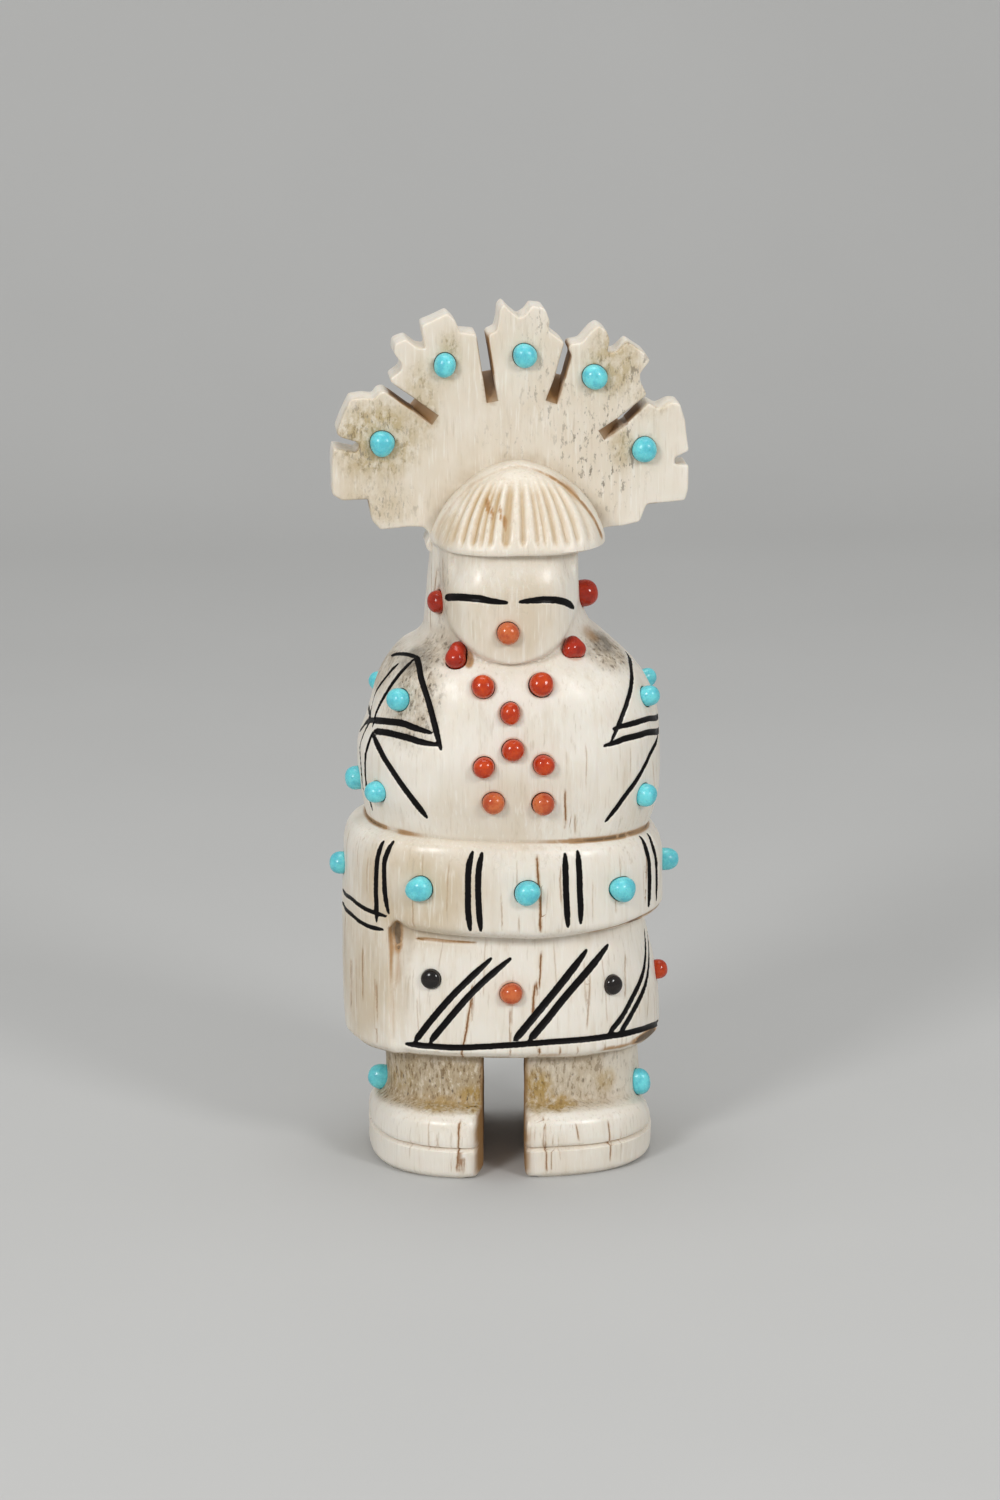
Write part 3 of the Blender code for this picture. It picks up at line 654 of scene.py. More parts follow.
# %% [markdown]
# ## One solid out of many skins
#
# The real carving is one piece, so the skins are joined by Boolean modifiers: body, legs and plate
# are added, ramps and drilled holes are taken away. The result is read back as one mesh, and the
# helpers are deleted.


# %% Join and cut
def joined(name, parts):
    """Separate skins in one object, to be used as a single cutter."""
    shape = bmesh.new()
    for part in parts:
        shape.from_mesh(part.data)
    mesh = bpy.data.meshes.new(name)
    shape.to_mesh(mesh)
    shape.free()
    made = bpy.data.objects.new(name, mesh)
    bpy.context.scene.collection.objects.link(made)
    remove(parts)
    return made


def remove(objects):
    for old in objects:
        mesh = old.data
        bpy.data.objects.remove(old, do_unlink=True)
        bpy.data.meshes.remove(mesh)


def outward(made):
    """Turns the faces out, whatever way round the grid was."""
    shape = bmesh.new()
    shape.from_mesh(made.data)
    bmesh.ops.recalc_face_normals(shape, faces=shape.faces)
    shape.to_mesh(made.data)
    shape.free()
    return made


def combine(target, operation, other):
    step = target.modifiers.new(other.name, "BOOLEAN")
    step.operation, step.solver, step.object = operation, "MANIFOLD", other
    return other


def baked(made, used):
    """The mesh as the modifiers leave it, in place of the first one."""
    bpy.context.view_layer.update()
    graph = bpy.context.evaluated_depsgraph_get()
    mesh = bpy.data.meshes.new_from_object(made.evaluated_get(graph))
    made.modifiers.clear()
    old, made.data = made.data, mesh
    bpy.data.meshes.remove(old)
    remove(used)


for skin in (carving, left_leg, right_leg, plate, *ramps, *holes, *stones.values()):
    outward(skin)
used = [combine(plate, "DIFFERENCE", ramp) for ramp in ramps]
baked(plate, used)
used = [combine(carving, "UNION", other) for other in (left_leg, right_leg, plate)]
used.append(combine(carving, "DIFFERENCE", joined("drill", holes)))
baked(carving, used)
print("carving:", len(carving.data.vertices), "points,", len(carving.data.polygons), "faces")

# %% [markdown]
# ## The black cuts
#
# The eyes, the bands of the belt and skirt and the feather-like marks on the shoulders were all cut
# with the edge of a small wheel and filled with black. A cut follows the surface, so each one is a
# short row of places on it, as degrees round the axis and height, with a curve through them. It has a
# half width, and the length of its taper at each end: a wheel leaves ends that are nearly blunt.

# %% Strokes
STROKES = (
    # half width, taper at the start, taper at the end, places; first the two eyes
    (0.38, 0.7, 2.6, ((223.8, 58.0), (235.6, 58.45), (243.7, 58.6), (250.9, 58.6), (257.6, 58.4),
                      (267.2, 58.2))),
    (0.36, 2.0, 0.9, ((274.7, 58.25), (280.3, 58.35), (287.1, 58.4), (293.6, 58.3), (299.6, 58.05),
                      (306.3, 57.55), (311.5, 57.0))),
    # hem line, then the slanting cuts of the skirt in pairs
    (0.33, 1.2, 1.2, ((220.9, 13.1), (239.5, 13.15), (268.6, 13.5), (300.8, 13.9), (326.4, 13.95),
                      (338.0, 13.75), (359.1, 12.75))),
    (0.35, 0.6, 2.2, ((224.7, 13.5), (232.1, 16.0), (240.0, 18.3), (249.0, 20.35), (258.8, 22.25))),
    (0.35, 0.6, 2.2, ((231.0, 13.6), (239.4, 16.15), (247.8, 18.4), (258.1, 20.5), (269.4, 22.3))),
    (0.4, 0.6, 2.2, ((271.2, 14.05), (284.3, 17.15), (293.6, 19.25), (302.4, 21.25), (308.7, 22.65))),
    (0.4, 0.6, 2.2, ((278.8, 14.05), (286.7, 15.9), (295.2, 17.9), (304.2, 19.85), (319.0, 22.7))),
    (0.33, 0.6, 1.6, ((316.6, 14.3), (322.5, 15.65), (328.2, 17.05), (334.6, 18.5), (340.2, 19.85),
                      (344.6, 21.2), (347.4, 22.6))),
    (0.33, 0.6, 1.6, ((321.6, 14.2), (327.7, 15.7), (334.4, 17.15), (340.8, 18.5), (346.8, 19.85),
                      (351.6, 21.2), (354.6, 22.5))),
    # belt, in pairs
    (0.31, 1.2, 1.2, ((212.2, 33.4), (211.4, 31.95), (210.9, 30.35), (210.8, 28.2), (211.0, 26.6),
                      (211.1, 24.85))),
    (0.3, 1.2, 1.2, ((216.4, 33.6), (215.3, 32.4), (214.5, 31.1), (214.7, 29.0), (215.4, 27.4),
                     (216.7, 26.0))),
    (0.32, 1.2, 1.2, ((250.8, 33.45), (249.6, 32.1), (249.3, 30.65), (249.3, 28.1), (250.3, 25.4))),
    (0.32, 1.2, 1.2, ((255.1, 33.4), (254.0, 31.8), (253.7, 30.2), (254.1, 27.65), (255.0, 25.5))),
    (0.33, 1.2, 1.2, ((294.2, 33.4), (293.7, 31.7), (293.8, 29.8), (294.1, 27.7), (294.6, 25.85))),
    (0.33, 1.2, 1.2, ((300.1, 33.6), (299.7, 32.0), (299.8, 29.75), (300.1, 27.8), (300.2, 26.05))),
    (0.37, 1.6, 1.0, ((334.0, 34.0), (333.0, 33.0), (333.3, 31.8), (333.6, 29.5), (332.9, 26.3))),
    (0.36, 1.6, 1.0, ((340.2, 33.9), (338.6, 32.9), (339.0, 31.7), (339.7, 29.7), (339.8, 26.45))),
    # flap beside the skirt
    (0.24, 1.5, 1.0, ((178.0, 25.7), (186, 25.9), (195.1, 26.1), (202.2, 25.9), (209.1, 25.75),
                      (215.7, 25.7))),
    (0.24, 1.5, 1.0, ((178.0, 24.3), (184, 24.4), (194.2, 24.4), (202.3, 24.2), (208.1, 24.1),
                      (214.3, 24.2))),
    # left shoulder
    (0.25, 0.8, 0.6, ((182.7, 51.1), (192.7, 51.65), (204.5, 51.95), (211.6, 51.95))),
    (0.34, 0.5, 2.0, ((210.4, 52.0), (216.8, 51.25), (220.6, 50.4), (227.0, 48.6), (231.6, 46.45),
                      (236.1, 43.7))),
    (0.25, 0.8, 0.6, ((200.2, 50.95), (194.8, 49.65), (189.0, 48.3), (184.6, 46.8), (186.5, 45.7),
                      (190.6, 44.9))),
    (0.28, 0.8, 0.6, ((210.0, 51.75), (204.7, 49.8), (200.9, 48.4), (197.2, 46.9), (195.4, 45.6),
                      (195.6, 44.5))),
    (0.35, 0.4, 2.2, ((195.6, 45.2), (206.8, 45.65), (215.5, 45.85), (223.1, 45.6), (230.9, 45.3))),
    (0.34, 0.6, 2.2, ((198.6, 44.25), (210.4, 44.6), (218.8, 44.55), (226.3, 44.3), (235.0, 44.15))),
    (0.36, 1.6, 1.0, ((197.3, 44.0), (206.1, 42.8), (212.3, 41.45), (218.2, 39.8), (223.9, 38.2),
                      (229.3, 36.4))),
    (0.26, 0.4, 2.0, ((190.6, 44.9), (187.6, 43.5), (187.0, 42.3), (188.0, 41.2), (190.5, 38.95),
                      (191.5, 37.3))),
    (0.28, 0.4, 2.0, ((197.0, 44.0), (196.6, 42.4), (195.6, 40.5), (195.6, 39.4), (196.3, 38.05),
                      (198.0, 35.75))),
    (0.3, 1.0, 0.6, ((172.1, 42.65), (177.2, 43.25), (184.4, 44.35), (190.6, 44.9), (195.6, 45.2))),
    (0.24, 1.0, 0.6, ((171.5, 45.4), (178.0, 45.45), (184.0, 45.4), (190.6, 44.9))),
    # right shoulder
    (0.3, 0.6, 2.0, ((358.0, 50.9), (342.5, 50.25), (334.8, 49.3), (328.1, 47.9), (321.5, 45.95),
                     (315.8, 44.15))),
    (0.3, 1.2, 2.2, ((354.0, 44.7), (346.9, 44.9), (337.2, 45.35), (331.4, 45.4), (322.0, 45.35),
                     (317.2, 45.25))),
    (0.33, 1.2, 2.2, ((354.0, 43.4), (346.8, 43.6), (333.6, 44.15), (323.8, 44.15), (318.0, 43.95),
                      (312.4, 43.75))),
    (0.3, 0.6, 1.4, ((345.9, 43.2), (337.8, 42.2), (332.9, 41.1), (326.9, 39.75), (321.6, 38.4),
                     (318.0, 37.3), (314.2, 36.15))),
)
STROKE_STEP, BLUNT = 0.1, 0.45


def surface_line(places, step):
    """Points on the surface at equal steps along a smooth curve through the places, and the length so far."""
    degrees, heights = np.array(places).T
    knots = np.arange(len(places))
    fine = np.linspace(0, len(places) - 1, 60 * len(places))
    line = any_surface(np.radians(smooth_profile(fine, knots, degrees)), smooth_profile(fine, knots, heights))
    length = np.concatenate([[0], np.cumsum(np.linalg.norm(np.diff(line, axis=0), axis=1))])
    at = np.arange(0, length[-1], step)
    return np.stack([np.interp(at, length, line[:, k]) for k in range(3)], axis=-1), at


def stroke_line(half, start, end, places):
    """The line and its half width, which grows over each taper as the share of it, to the power 0.6."""
    line, at = surface_line(places, STROKE_STEP)
    first = np.clip(at / start, 0, 1) ** 0.6
    last = np.clip((at[-1] - at) / end, 0, 1) ** 0.6
    return line, half * (BLUNT + (1 - BLUNT) * np.minimum(first, last))


lines = [stroke_line(*stroke) for stroke in STROKES]
print("cuts:", len(lines), "with", round(sum(len(line) for line, _ in lines) * STROKE_STEP), "mm in all")


# %% Distance to the nearest cut
CUT_MARGIN = 1.2


def beside(points, line, margin):
    """
    Which points lie in a line's box, made larger by the margin, and for each of them the nearest place
    on the line, the distance to it and the vector from it.
    """
    near = np.flatnonzero(((points > line.min(0) - margin) & (points < line.max(0) + margin)).all(axis=1))
    away = points[near, None, :] - line[None]
    gaps = np.linalg.norm(away, axis=2)
    closest = gaps.argmin(axis=1)
    each = np.arange(len(near))
    return near, closest, gaps[each, closest], away[each, closest]


def cut_distance(points):
    """Per point the distance to the middle of the nearest cut, 9 where far off, and the half width there."""
    best, width = np.full(len(points), 9.0), np.full(len(points), 0.3)
    for line, half in lines:
        near, closest, gap, _ = beside(points, line, CUT_MARGIN)
        edge = gap - half[closest]
        better = edge < best[near] - width[near]
        best[near[better]], width[near[better]] = gap[better], half[closest][better]
    return best, width


def positions(mesh):
    """Vertex places in millimetres from the antler's axis."""
    flat = np.empty(len(mesh.vertices) * 3)
    mesh.vertices.foreach_get("co", flat)
    return flat.reshape(-1, 3) / MM + MIDDLE


def normals(mesh):
    flat = np.empty(len(mesh.vertices) * 3)
    mesh.vertices.foreach_get("normal", flat)
    return flat.reshape(-1, 3)


def edge_lists(mesh):
    flat = np.empty(len(mesh.edges) * 2, int)
    mesh.edges.foreach_get("vertices", flat)
    return flat.reshape(-1, 2)


def move_points(mesh, place):
    mesh.vertices.foreach_set("co", ((place - MIDDLE) * MM).ravel())
    mesh.update()


# %% [markdown]
# ## Fine relief
#
# The rest of the carving is shallow, a quarter of a millimetre or less, so it is pressed into the
# finished mesh: every vertex moves inwards by the sum of all hollows at its place. The hair has
# flutes that run together towards the top, a line inside its rim, a dent where flap, belt and skirt
# meet, and everywhere the slight unevenness that files and sandpaper leave.

# %% Hollows of the hair
FLUTES = (
    # place across the hair as a share of its half width, depth, half width
    (-0.92, 0.12, 0.15), (-0.85, 0.18, 0.17), (-0.75, 0.27, 0.21), (-0.63, 0.34, 0.24), (-0.54, 0.26, 0.2),
    (-0.44, 0.33, 0.23), (-0.26, 0.4, 0.38), (-0.06, 0.33, 0.26), (0.11, 0.3, 0.22), (0.2, 0.27, 0.2),
    (0.32, 0.36, 0.26), (0.46, 0.34, 0.27), (0.59, 0.28, 0.26), (0.74, 0.18, 0.3),
)
FLUTE_MIDDLE, FLUTE_RISE = 1.6, FRINGE_RISE / 0.93
RIM_DEPTH, RIM_HALF = 0.13, 0.026
RIM_SIDES, RIM_SHARES = (-6, 8), (0.95, 0.885)


def on_hair(points):
    return (points[:, 1] < PLATE_FRONT - 0.3) & (points[:, 2] > FRINGE_LIP)


def flute_hollow(points):
    """Each flute keeps its share of the hair's width, so all meet at the pole. Depth times a bell curve."""
    x, y, z = points.T
    half = np.maximum(FRINGE_HALF * dome_size(z, FLUTE_RISE), 0.5)
    across = (x - FLUTE_MIDDLE) / half
    hollow = sum(deep * np.exp(-(((across - at) * half / wide) ** 2)) for at, deep, wide in FLUTES)
    return hollow * on_hair(points) * smooth_step((z - 63.4) / 1.0) * smooth_step((69.9 - z) / 1.9)


def rim_share(points):
    """1 on the outline of the hair and less inside: |x/half|^p + (rise)^p."""
    x, y, z = points.T
    up = np.clip((z - FRINGE_BASE) / FRINGE_RISE, 0, 1)
    return (np.abs(x - FRINGE_MIDDLE) / FRINGE_HALF) ** FRINGE_POWER + up**FRINGE_POWER


def rim_line(points):
    """A bell curve round the line where that share is 0.95 on the left and 0.885 on the right."""
    at = np.interp(points[:, 0], RIM_SIDES, RIM_SHARES)
    line = np.exp(-(((rim_share(points) - at) / RIM_HALF) ** 2)) * on_hair(points)
    return line * smooth_step((points[:, 2] - 63.2) / 0.8)


# %% Unevenness from files and sandpaper
def unevenness(points, seed, count, shortest, longest):
    """Sine waves in random directions with random lengths, added and divided by the root of their number."""
    luck = np.random.default_rng(seed)
    way = luck.normal(size=(count, 3))
    way = way / np.linalg.norm(way, axis=1)[:, None] / luck.uniform(shortest, longest, count)[:, None]
    return np.sin(2 * np.pi * (points @ way.T + luck.uniform(0, 1, count))).sum(axis=1) / np.sqrt(count)


NOTCH, NOTCH_SIZE, NOTCH_DEPTH = np.array([-11.25, -8.8, 25.0]), np.array([0.6, 0.9, 1.3]), 0.8


def notch(points):
    """A bell curve in all directions, taller than wide."""
    return np.exp(-((((points - NOTCH) / NOTCH_SIZE) ** 2).sum(axis=1)))


# %% Scored lines
SCORED = (
    # half width, depth, then degrees, height and how brown it is there
    (0.20, 0.12, ((0, 34.4, 0.3), (90, 34.4, 0.25), (180, 34.4, 0.5), (190, 34.4, 0.9), (193, 34.4, 1.0))),
    (0.22, 0.12, ((193, 34.4, 1.0), (199, 34.4, 1.0), (203, 34.4, 0.9), (205, 34.4, 0.1),
                  (209, 34.4, 0.8), (220, 34.4, 0.5), (229, 34.4, 0.05))),
    (0.20, 0.10, ((229, 34.4, 0.05), (275, 34.4, 0.0), (291, 34.4, 0.2), (299, 34.4, 0.75))),
    (0.26, 0.16, ((299, 34.4, 0.75), (307, 34.4, 1.0), (322, 34.4, 1.0), (329, 34.45, 0.8),
                  (345, 34.4, 1.0), (360, 34.4, 0.3))),
    (0.2, 0.1, ((250, 24.4, 0.4), (268, 24.45, 0.6), (283, 24.55, 0.85), (296, 24.5, 0.9),
                (306, 24.65, 0.8))),
    (0.24, 0.12, ((306, 24.65, 0.8), (313, 24.75, 0.95), (322, 24.95, 0.85), (330, 25.2, 1.0),
                  (345, 25.3, 0.9), (395, 24.8, 0.2))),
    (0.13, 0.2, ((223.0, 23.5, 1.0), (229.5, 23.6, 0.85), (236.0, 23.6, 0.8), (243.0, 23.65, 0.8),
                 (250.5, 23.7, 0.4))),
    # Down the flap's edge, fading: partly brown stain, partly painted shade of the step.
    (0.17, 0.12, ((217.1, 24.4, 1.0), (217.1, 21.5, 0.7), (217.3, 17.5, 0.4), (217.5, 13.4, 0.15))),
)
SCORE_MARGIN = 1


def scored_line(half, depth, marks):
    """Like a cut, with the brown given at each place and carried along the line."""
    degrees, heights, brown = np.array(marks).T
    line, at = surface_line(list(zip(degrees, heights)), STROKE_STEP)
    knots = np.interp(at, np.linspace(0, at[-1], len(marks)), np.arange(len(marks)))
    return line, half, depth, smooth_profile(knots, np.arange(len(marks)), brown)


def scored(points):
    """For each point, the deepest scored line there and the strongest brown, both bell curves across it."""
    deep, tint, gap_to = np.zeros(len(points)), np.zeros(len(points)), np.full(len(points), 9.0)
    for line, half, depth, brown in scores:
        near, closest, gap, _ = beside(points, line, SCORE_MARGIN)
        across = np.exp(-((gap / half) ** 2))
        deep[near] = np.maximum(deep[near], depth * across)
        tint[near] = np.maximum(tint[near], brown[closest] * across)
        gap_to[near] = np.minimum(gap_to[near], gap)
    return deep, tint, gap_to


scores = [scored_line(*row) for row in SCORED]
print("scored lines:", len(scores))


# %% Finer faces where the relief is finest
CUT_WITHIN, SCORE_WITHIN, LONG_EDGE = 0.62, 0.45, 0.2
place, edges = positions(carving.data), edge_lists(carving.data)
distance, half_width = cut_distance(place)
fine = (distance < CUT_WITHIN) | (scored(place)[2] < SCORE_WITHIN)
fine = fine | (rim_line(place) > 0.1) | (notch(place) > 0.05)
long_enough = np.linalg.norm(place[edges[:, 0]] - place[edges[:, 1]], axis=1) > LONG_EDGE
shape = bmesh.new()
shape.from_mesh(carving.data)
shape.edges.ensure_lookup_table()
chosen = [shape.edges[i] for i in np.flatnonzero(fine[edges].any(axis=1) & long_enough)]
bmesh.ops.subdivide_edges(shape, edges=chosen, cuts=1, use_grid_fill=True)
bmesh.ops.triangulate(shape, faces=[face for face in shape.faces if len(face.verts) > 4])
shape.to_mesh(carving.data)
shape.free()
carving.data.update()
print("after refining:", len(carving.data.vertices), "points")

# %% Press the relief in
CUT_SINK, CUT_WIDER, WEAR, LEAN_BACK = 0.2, 1.05, 0.035, 0.7
FOREHEAD, FOREHEAD_RISE, FOREHEAD_HALF = 59.0, 3.4, 7.2
place = positions(carving.data)
distance, half_width = cut_distance(place)
cut_hollow = np.clip(1 - (distance / (half_width * CUT_WIDER)) ** 2, 0, 1) * np.clip(half_width / 0.3, 0, 1)
flutes = flute_hollow(place)
deep = CUT_SINK * cut_hollow + flutes + RIM_DEPTH * rim_line(place) + NOTCH_DEPTH * notch(place)
above_sole = smooth_step(place[:, 2] / 1.5)
deep = deep + WEAR * unevenness(place, 5, 26, 2.5, 7.0) * above_sole
# The forehead leans back a little under the hair, and the scored lines are sunk.
forehead = smooth_step((place[:, 2] - FOREHEAD) / FOREHEAD_RISE) * (place[:, 1] < -7)
forehead = forehead * smooth_step((FOREHEAD_HALF - np.abs(place[:, 0] - 0.3)) / 1.5)
score_depth, score_brown, _ = scored(place)
deep = deep + LEAN_BACK * forehead * (place[:, 2] < FRINGE_LIP + 0.35) + score_depth
move_points(carving.data, place - normals(carving.data) * deep[:, None])
print("deepest hollow:", round(float(deep.max()), 2), "mm")

# %% [markdown]
# ## Cracks
#
# Antler dries and cracks along its length, and the cracks take a sienna brown stain. They are finer
# than the mesh, so each vertex near one is told its signed distance to the crack. Between two
# vertices that number passes through zero in a straight line, and the material draws it there.

# %% Cracks that show in front
CRACKS = (
    # half width, how strong, places: belt
    (0.09, 1.5, ((281.2, 33.3), (281.2, 30.9), (282.1, 28.35), (282.5, 25.4))),
    (0.06, 0.6, ((291.4, 32.3), (291.5, 28.2))),
    (0.06, 0.8, ((332.0, 32.9), (331, 29.8), (330.2, 26.6))),
    (0.06, 0.6, ((315.4, 28.4), (315.4, 26.2))),
    (0.05, 0.6, ((264.5, 28.8), (264.6, 25.6))),
    (0.05, 0.5, ((272.4, 27.3), (272.5, 25.4))),
    (0.05, 0.35, ((241.0, 32.4), (240.4, 27.0))),
    (0.06, 0.45, ((226.5, 28.4), (227.0, 24.9))),
    (0.05, 0.35, ((206.6, 31.6), (206.2, 27.4))),
    # skirt
    (0.07, 1.3, ((286.2, 23.0), (285.2, 21.0), (284.1, 19.1))),
    (0.08, 1.5, ((282.3, 19.9), (281.3, 18.2), (280.2, 16.4))),
    (0.06, 0.6, ((309.2, 20.4), (307.8, 17.8), (306.2, 14.8))),
    (0.06, 0.7, ((327.4, 21.6), (326.0, 19.4), (324.5, 17.2))),
    (0.05, 0.6, ((340.2, 17.7), (338.8, 16.2), (337.1, 14.5))),
    (0.07, 1.3, ((249.4, 19.6), (248.3, 17.0), (246.0, 14.0), (244.0, 11.8))),
    (0.05, 0.7, ((268.7, 17.2), (268.6, 14.4), (268.8, 12.2))),
    (0.07, 1.3, ((283.6, 13.4), (284.1, 12.2))),
    (0.06, 1.3, ((293.8, 13.3), (294.4, 12.3))),
    (0.06, 0.8, ((301.8, 13.3), (302.4, 12.3))),
    (0.06, 0.8, ((314.3, 13.3), (315.1, 12.3))),
    # flap
    (0.08, 0.7, ((204.2, 22.0), (204.0, 19.0), (203.8, 16.6))),
    (0.12, 0.6, ((195.4, 20.2), (194.8, 17.5), (194.1, 14.8))),
    (0.06, 0.7, ((211.3, 18.9), (210.9, 15.6), (210.2, 12.6))),
    (0.05, 0.5, ((188.0, 23.4), (187.2, 17.0))),
    # chest
    (0.07, 1.2, ((294.7, 39.8), (295.4, 37.4), (295.9, 35.6))),
    (0.05, 0.4, ((304.5, 44.1), (304.3, 42.0), (304.1, 40.0))),
    (0.05, 0.35, ((324.5, 43.4), (324.1, 40.4))),
    (0.05, 0.4, ((338.6, 41.3), (340.2, 39.2), (342.0, 37.0))),
    (0.06, 0.5, ((299.9, 37.3), (301.1, 34.9))),
    # feet
    (0.08, 1.15, ((245.7, 6.1), (245.4, 3.2), (244.8, 0.6))),
    (0.07, 0.9, ((248.0, 2.5), (247.9, 0.5))),
    (0.07, 1.0, ((284.3, 6.3), (284.4, 3.4), (284.7, 0.5))),
    (0.06, 0.9, ((297.6, 5.6), (298.6, 3.6))),
    (0.06, 0.9, ((311.5, 5.6), (311.6, 3.4), (311.7, 0.9))),
    (0.05, 0.4, ((232.7, 5.9), (233.2, 2.8))),
    # hair beside the face, and the edge of the face
    (0.06, 0.6, ((194.0, 60.9), (197.5, 57.5), (201.8, 54.1))),
    (0.07, 0.8, ((205.7, 60.4), (204.0, 59.0), (202.7, 57.3))),
    (0.05, 0.6, ((190.4, 57.0), (193.0, 55.4), (195.5, 54.0))),
    (0.10, 0.5, ((219.6, 62.0), (219.8, 60.4), (220.0, 58.4))),
)
CRACK_STEP, CRACK_REACH, CRACK_FADE, CRACK_TAPER, WIDEN = 0.15, 0.5, 0.12, 0.5, 1.5
CRACK_MARGIN = 0.7

# %% Cracks on the sides and the back
luck = np.random.default_rng(11)
ZONES = (
    # lowest, highest, first and last degree, how many: skirt, belt, back of the torso, feet
    (12.6, 24.0, 0, 360, 30),
    (25.2, 33.0, 0, 360, 28),
    (35.5, 46.0, 20, 160, 14),
    (0.6, 5.6, 0, 360, 14),
)
FRONT_STRENGTH, BACK_STRENGTH = 0.3, 0.7
scattered = []
for low, high, first, last, count in ZONES:
    turn = first + (last - first) * (np.arange(count) + luck.uniform(0.1, 0.9, count)) / count
    start = luck.uniform(low, high - 0.3 * (high - low), count)
    end = np.minimum(start + luck.uniform(0.25, 0.7, count) * (high - low), high)
    lean = luck.uniform(-1.2, 1.2, count)
    half = luck.uniform(0.03, 0.06, count)
    strong = np.where(turn > 190, FRONT_STRENGTH, BACK_STRENGTH)
    ends = zip(zip(turn, end), zip(turn + lean, start))
    scattered += list(zip(half, strong, ends))
wanted = (*CRACKS, *scattered)
cracks = [(half * WIDEN, strong, *surface_line(places, CRACK_STEP)) for half, strong, places in wanted]
print("cracks:", len(cracks))


# %% Signed distance to the nearest crack
def crack_marks(points, outwards):
    """
    Per vertex the nearest crack's distance, with the sign of the side it lies on, over its half width,
    and a strength: the crack's own beside it, none from CRACK_REACH on and at its two ends.
    """
    nearest, signed, strength = np.full(len(points), 9.0), np.full(len(points), 9.0), np.zeros(len(points))
    for half, strong, line, at in cracks:
        near, closest, gap, away = beside(points, line, CRACK_MARGIN)
        along = np.gradient(line, axis=0)[closest]
        side = np.cross(outwards[near], along)
        side = side / np.maximum(np.linalg.norm(side, axis=1), 1e-9)[:, None]
        offset = (away * side).sum(axis=1)
        ends = np.clip(np.minimum(at[closest], at[-1] - at[closest]) / CRACK_TAPER, 0, 1)
        better = gap < nearest[near]
        chosen = near[better]
        nearest[chosen] = gap[better]
        signed[chosen] = offset[better] / half
        strength[chosen] = strong * (smooth_step((CRACK_REACH - gap) / CRACK_FADE) * ends)[better]
    return np.clip(signed, -9, 9), strength


# %% [markdown]
# ## Where the antler is stained, and where shade is painted on it
#
# The colours on the antler are not even. Old stain sits in creases, the shoulder and the insteps cut
# into the porous core, and the walls of the saw cuts were never polished. Some of the darkening is
# painted shade as well: in creases and hollows, on the legs under the hem, beside the neck and its
# first bead, in the notch by the flap, in the groove above the sole and on the belly. Each of these is
# a number at every vertex, mostly a share from 0 to 1, and a distance for cuts, cracks and glue. It is
# worked out from the vertex's place, and the material reads it as an attribute. That way a stain or a
# painted shade lies where it belongs, seen from any side.


# %% Masks at the vertices
def spot(points, centre, size, soft=0.6):
    """1 inside an ellipsoid round the centre, fading to 0 over its outer part."""
    away = np.linalg.norm((points - np.array(centre)) / np.array(size), axis=1)
    return 1 - smooth_step((away - (1 - soft)) / soft)


def spots(points, places):
    return np.max([amount * spot(points, centre, size) for centre, size, amount in places], axis=0)


def bell(values, middle, half):
    return np.exp(-(((values - middle) / half) ** 2))


def spread(values, edges, times):
    """Each vertex takes the average of itself and its neighbours, again and again."""
    count = np.bincount(edges.ravel(), minlength=len(values)) + 1.0
    for _ in range(times):
        total = values.copy()
        np.add.at(total, edges[:, 0], values[edges[:, 1]])
        np.add.at(total, edges[:, 1], values[edges[:, 0]])
        values = total / (count if values.ndim == 1 else count[:, None])
    return values


place, out = positions(carving.data), normals(carving.data)
edges = edge_lists(carving.data)
# A vertex lies in a crevice where the average of its surroundings lies outside it. There the
# colour turns darker brown, partly old stain and partly painted shade, less so on the face.
CREVICE_DEPTH, FACE_CREVICE_SHARE = 0.12, 0.35
concave = ((spread(place, edges, 6) - place) * out).sum(axis=1)
crevice = np.clip(spread(concave, edges, 2) / CREVICE_DEPTH, 0, 1)
x, y, z = place.T
crevice = crevice * np.where((z > 50.5) & (z < 62) & (y < -5), FACE_CREVICE_SHARE, 1)
height = level(place)

# %% Porous core, specks and dark legs, partly painted shade under the hem
porous = spots(
    place,
    (
        ((-9.5, -7.5, 48.5), (4.2, 5, 6.5), 1.0),
        ((-7.5, -6.0, 53.0), (3.2, 4, 3.5), 0.8),
        ((-12.5, 0, 50.5), (4, 7, 4), 0.8),
        ((10.2, -4.5, 52.2), (3.8, 5, 3.2), 1.0),
        ((9, 7, 50.5), (7, 4, 3), 0.35),
        ((-6.8, -5.5, 58.5), (1.6, 3.5, 5.5), 0.5),
    ),
)
olive = spots(
    place,
    (
        ((-12.6, PLATE_FRONT, 73.0), (5.8, 1.2, 5.4), 1.0),
        ((-8.3, PLATE_FRONT, 76.4), (2.6, 1.2, 6.0), 0.6),
        ((-5.4, PLATE_FRONT, 81.0), (1.5, 1.2, 3.4), 0.7),
        ((-12.5, PLATE_FRONT, 66.5), (4.8, 1.2, 3.2), 0.4),
        ((10.8, PLATE_FRONT, 80.3), (3.6, 1.2, 4.6), 0.85),
        ((11.6, PLATE_FRONT, 71.8), (1.6, 1.2, 2.8), 0.7),
        ((14.5, PLATE_FRONT, 76.5), (3.0, 1.2, 2.5), 0.4),
        ((9, PLATE_BACK, 75), (4, 1.2, 9), 0.3),
        ((-10, PLATE_BACK, 70), (7, 1.2, 4), 0.3),
    ),
)
